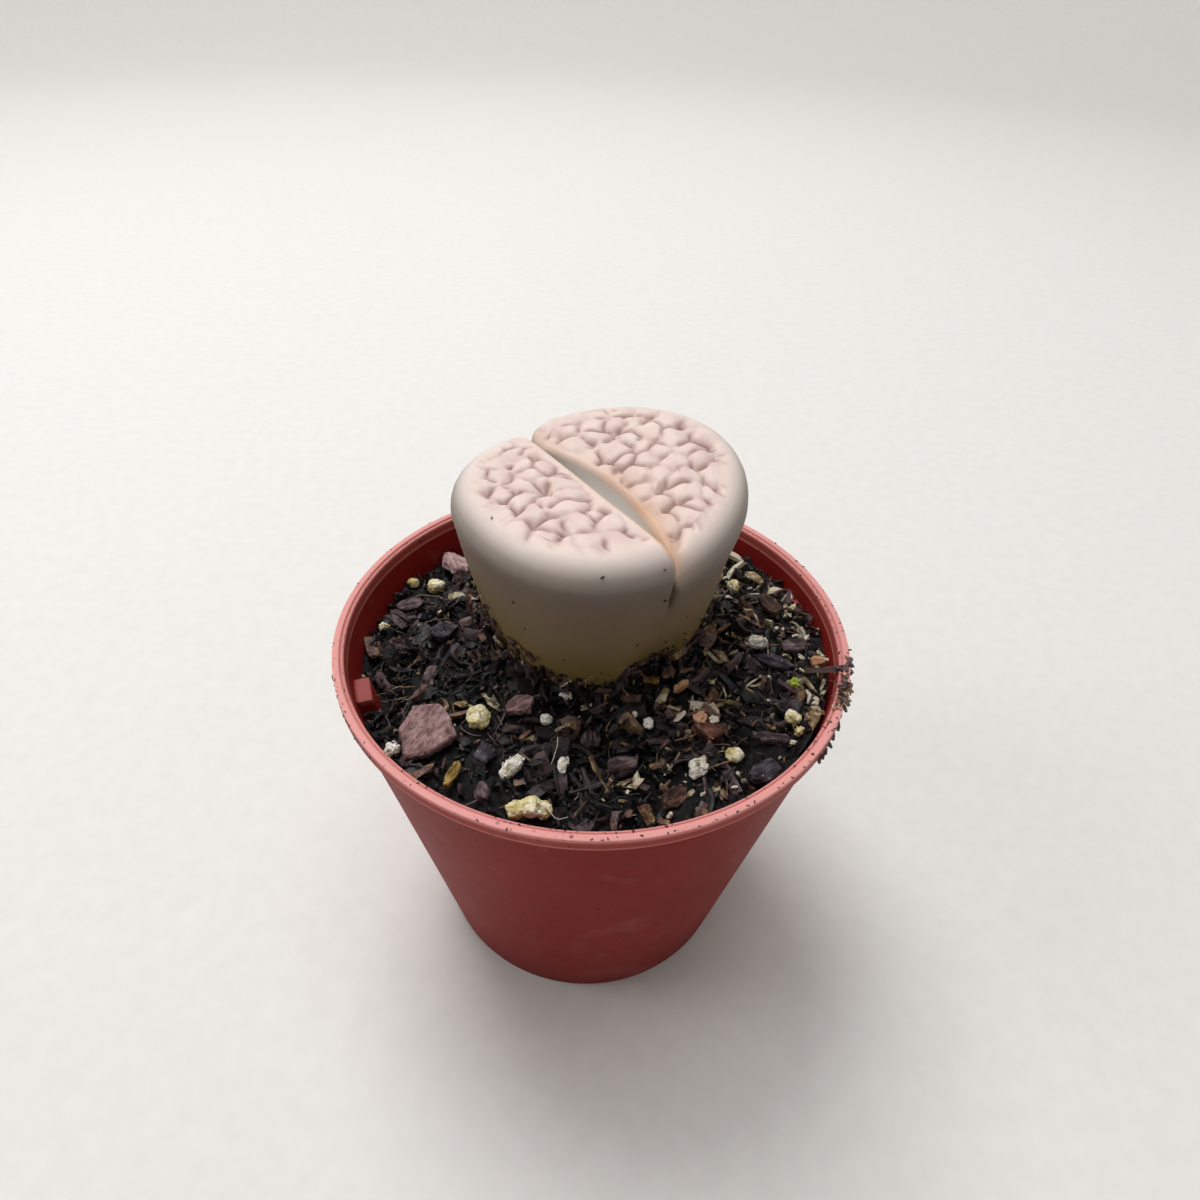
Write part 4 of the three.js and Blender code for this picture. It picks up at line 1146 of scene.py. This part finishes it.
def stuck(where, size, shade, lift=0.3):
    """A crumb stuck to a surface at a place with a normal."""
    place, normal = where
    facing = (Vector(normal).to_track_quat("Z", "Y").to_matrix()
              @ Matrix.Rotation(between(0, math.tau), 3, "Z"))
    stretch = np.array([size * between(0.8, 1.35), size * between(0.7, 1.0),
                        size * between(0.45, 0.8)])
    return (CRUMBS[rng.integers(len(CRUMBS))], stretch, np.array(facing),
            place + normal * size * lift, shade)


splashed = []
while len(splashed) < 700:
    heading = between(0, math.tau)
    clump = 0.5 + 0.5 * math.sin(heading * 5 + 1.2) * math.sin(heading * 3 + 0.4)
    level = SPLASHED_FROM + rng.exponential(0.6 + 1.6 * clump)
    where = on_plant(heading, level)
    if level > SPLASHED_TO or where is None:
        continue
    size = between(0.16, 0.46) * (2.8 if level < 43 else 1)
    splashed.append(stuck(where, size, shade_near(0.63, 0.18)))
# Thicker splashes at the left and the front: their heading and its spread (degrees), how far up
# they reach, and how many crumbs they have.
for toward, spread, reach, count in ((208, 6, 8.5, 90), (232, 6, 5.5, 70), (252, 5, 3.5, 50),
                                     (283, 9, 3.4, 80), (314, 8, 4.0, 60)):
    for bit in range(count):
        heading = math.radians(rng.normal(toward, spread))
        level = 41.2 + reach * rng.random() ** 1.6
        shade = between(0.75, 0.92) if rng.random() < 0.35 else shade_near(0.6, 0.15)
        size = between(0.22, 0.56) * (2.2 if level < 43.5 else 1)
        size = size * (2.0 if rng.random() < 0.15 else 1)
        splashed.append(stuck(on_plant(heading, level), size, shade))
leaning = []
for shred in range(230):
    heading = between(0, math.tau) if shred % 3 else between(4.4, 5.6)
    place, normal = on_plant(heading, between(41.2, 43.3))
    length = between(0.9, 2.4)
    kind, width = (FLAKES, 0.55) if shred % 2 else (SPLINTERS, 0.22)
    size = np.array([length, length * width, length * 0.2])
    turn = turned_by(between(0, 3), rng.normal(0, 0.7), heading + rng.normal(0, 0.8))
    leaning.append((kind[rng.integers(len(kind))], size, turn,
                    place + normal * between(0.1, 0.7), shade_near(0.6, 0.19)))
hairs = []
while len(hairs) < 170:
    heading = between(0, math.tau)
    level = HAIRS_FROM + rng.exponential(1.6)
    where = on_plant(heading, level)
    if where is None or level > HAIRS_TO:
        continue
    made = fine_root(where[0] + where[1] * 0.1, heading + rng.normal(0, 1.1),
                     between(0.8, 2.4), between(0.06, 0.13), between(-0.3, 0.35))
    hairs.append(as_grown(made, shade_near(0.55, 0.25)))
# The larger single specks: on the side, by x and height, then on top, by x and y, with their tones.
for x, level, size in ((0.8, 60.3, 0.34), (6.4, 56.6, 0.3), (4.4, 49.9, 0.26), (-7.3, 54.3, 0.3),
                       (6.1, 60.2, 0.22), (-6.4, 50.6, 0.2), (2.0, 53.4, 0.14), (9.2, 51.0, 0.2),
                       (-2.6, 47.4, 0.22), (7.4, 47.5, 0.3)):
    where = on_surface(lithops, (x, -40, level), (x, 10, level))
    if where:
        splashed.append(stuck(where, size, 0.4))
for x, y, size, shade in ((-9.4, -5.5, 0.34, 0.86), (1.0, 4.9, 0.2, 0.87), (-4.5, 7.6, 0.16, 0.4),
                          (7.9, 2.5, 0.18, 0.8)):
    splashed.append(stuck(on_surface(lithops, (x, y, 90), (x, y, 40)), size, shade))
plant_dirt = strewn("dirt_on_plant", splashed + leaning + hairs)

crust = []
for speck in range(300):
    heading = between(0, math.tau)
    thick = rng.random() < 0.5 + 0.4 * math.cos(heading + 0.5)
    radius = rng.choice((26.45, 26.6, 27.3, 27.44)) + rng.normal(0, 0.06)
    size = between(0.08, 0.24) * (1.2 if thick else 0.7)
    x, y = radius * math.cos(heading), radius * math.sin(heading)
    where = on_surface(pot, (x, y, 60), (x, y, 0))
    if where and where[0][2] > RIM_TOP - 1:
        crust.append(stuck(where, size, shade_near(0.66, 0.12), 0.1))
for speck in range(150):
    heading = between(0, math.tau)
    level = 44.2 - abs(rng.normal(0, 3.4))
    where = on_wall(heading, level)
    if where and level > 20:
        crust.append(stuck(where, between(0.08, 0.24), shade_near(0.56, 0.15), 0.05))
for speck in range(70):
    heading = math.radians(between(184, 226))
    where = on_wall(heading, 43.8 - abs(rng.normal(0, 1.1)))
    crust.append(stuck(where, 0.1 + rng.exponential(0.12), shade_near(0.66, 0.12), 0.1))
# Clotted soil on the rim's right side, with rootlets, and pointed crumbs in a row under it.
for bit in range(64):
    heading = math.radians(rng.normal(-20, 2.2) if bit % 5 else between(-30, -6))
    radius = between(26.7, 27.7)
    place = np.array([radius * math.cos(heading), radius * math.sin(heading),
                      RIM_TOP + between(-0.2, 0.5)])
    crust.append(stuck((place, np.array([0.5, 0, 1.0])), between(0.25, 0.85),
                       shade_near(0.76, 0.14), 0.05))
for tooth in range(6):
    heading = math.radians(-38 + 2.3 * tooth + rng.normal(0, 0.8))
    length = between(0.6, 1.5)
    place = np.array([RIM_EDGE * math.cos(heading), RIM_EDGE * math.sin(heading),
                      42.9 + rng.normal(0, 0.25) - length * 0.4])
    turn = turned_by(between(0, 3), 1.15 + rng.normal(0, 0.3), heading + rng.normal(0, 0.5))
    crust.append((CRUMBS[tooth], np.array([length, 0.75, 0.75]), turn, place, 0.66))
for strand in range(11):
    heading = math.radians(rng.normal(-17, 5))
    radius = between(26.2, 27.5)
    made = fine_root((radius * math.cos(heading), radius * math.sin(heading), 44.3),
                     between(0, math.tau), between(0.8, 1.7), between(0.06, 0.11),
                     between(-0.35, 0.2))
    crust.append(as_grown(made, shade_near(0.78, 0.1)))
# The twig's three parts: length, girth, place, pitch and heading.
for part, (length, girth, place, pitch, heading) in enumerate((
        (5.2, 1.2, (24.8, -5.5, 43.8), -0.05, 0.15), (1.3, 0.8, (26.8, -5.0, 44.2), -0.2, 0.9),
        (1.6, 0.7, (26.2, -6.0, 43.9), 0.2, -0.4))):
    crust.append((SPLINTERS[part], np.array([length, girth, girth]),
                  turned_by(0.5 * part, pitch, heading), np.array(place), 0.74 - 0.03 * part))
# A trickle of dried soil under the rim, at the left front.
for drop in range(16):
    where = on_wall(math.radians(-140.4 + 0.25 * math.sin(drop)), 42.0 - 0.42 * drop)
    crust.append(stuck(where, 0.36 - 0.014 * drop, 0.45, 0.1))
rim_dirt = strewn("dirt_on_pot", crust)

for piece in (plant_dirt, rim_dirt):
    piece.data.materials.append(mulch)
    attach(piece, "root")
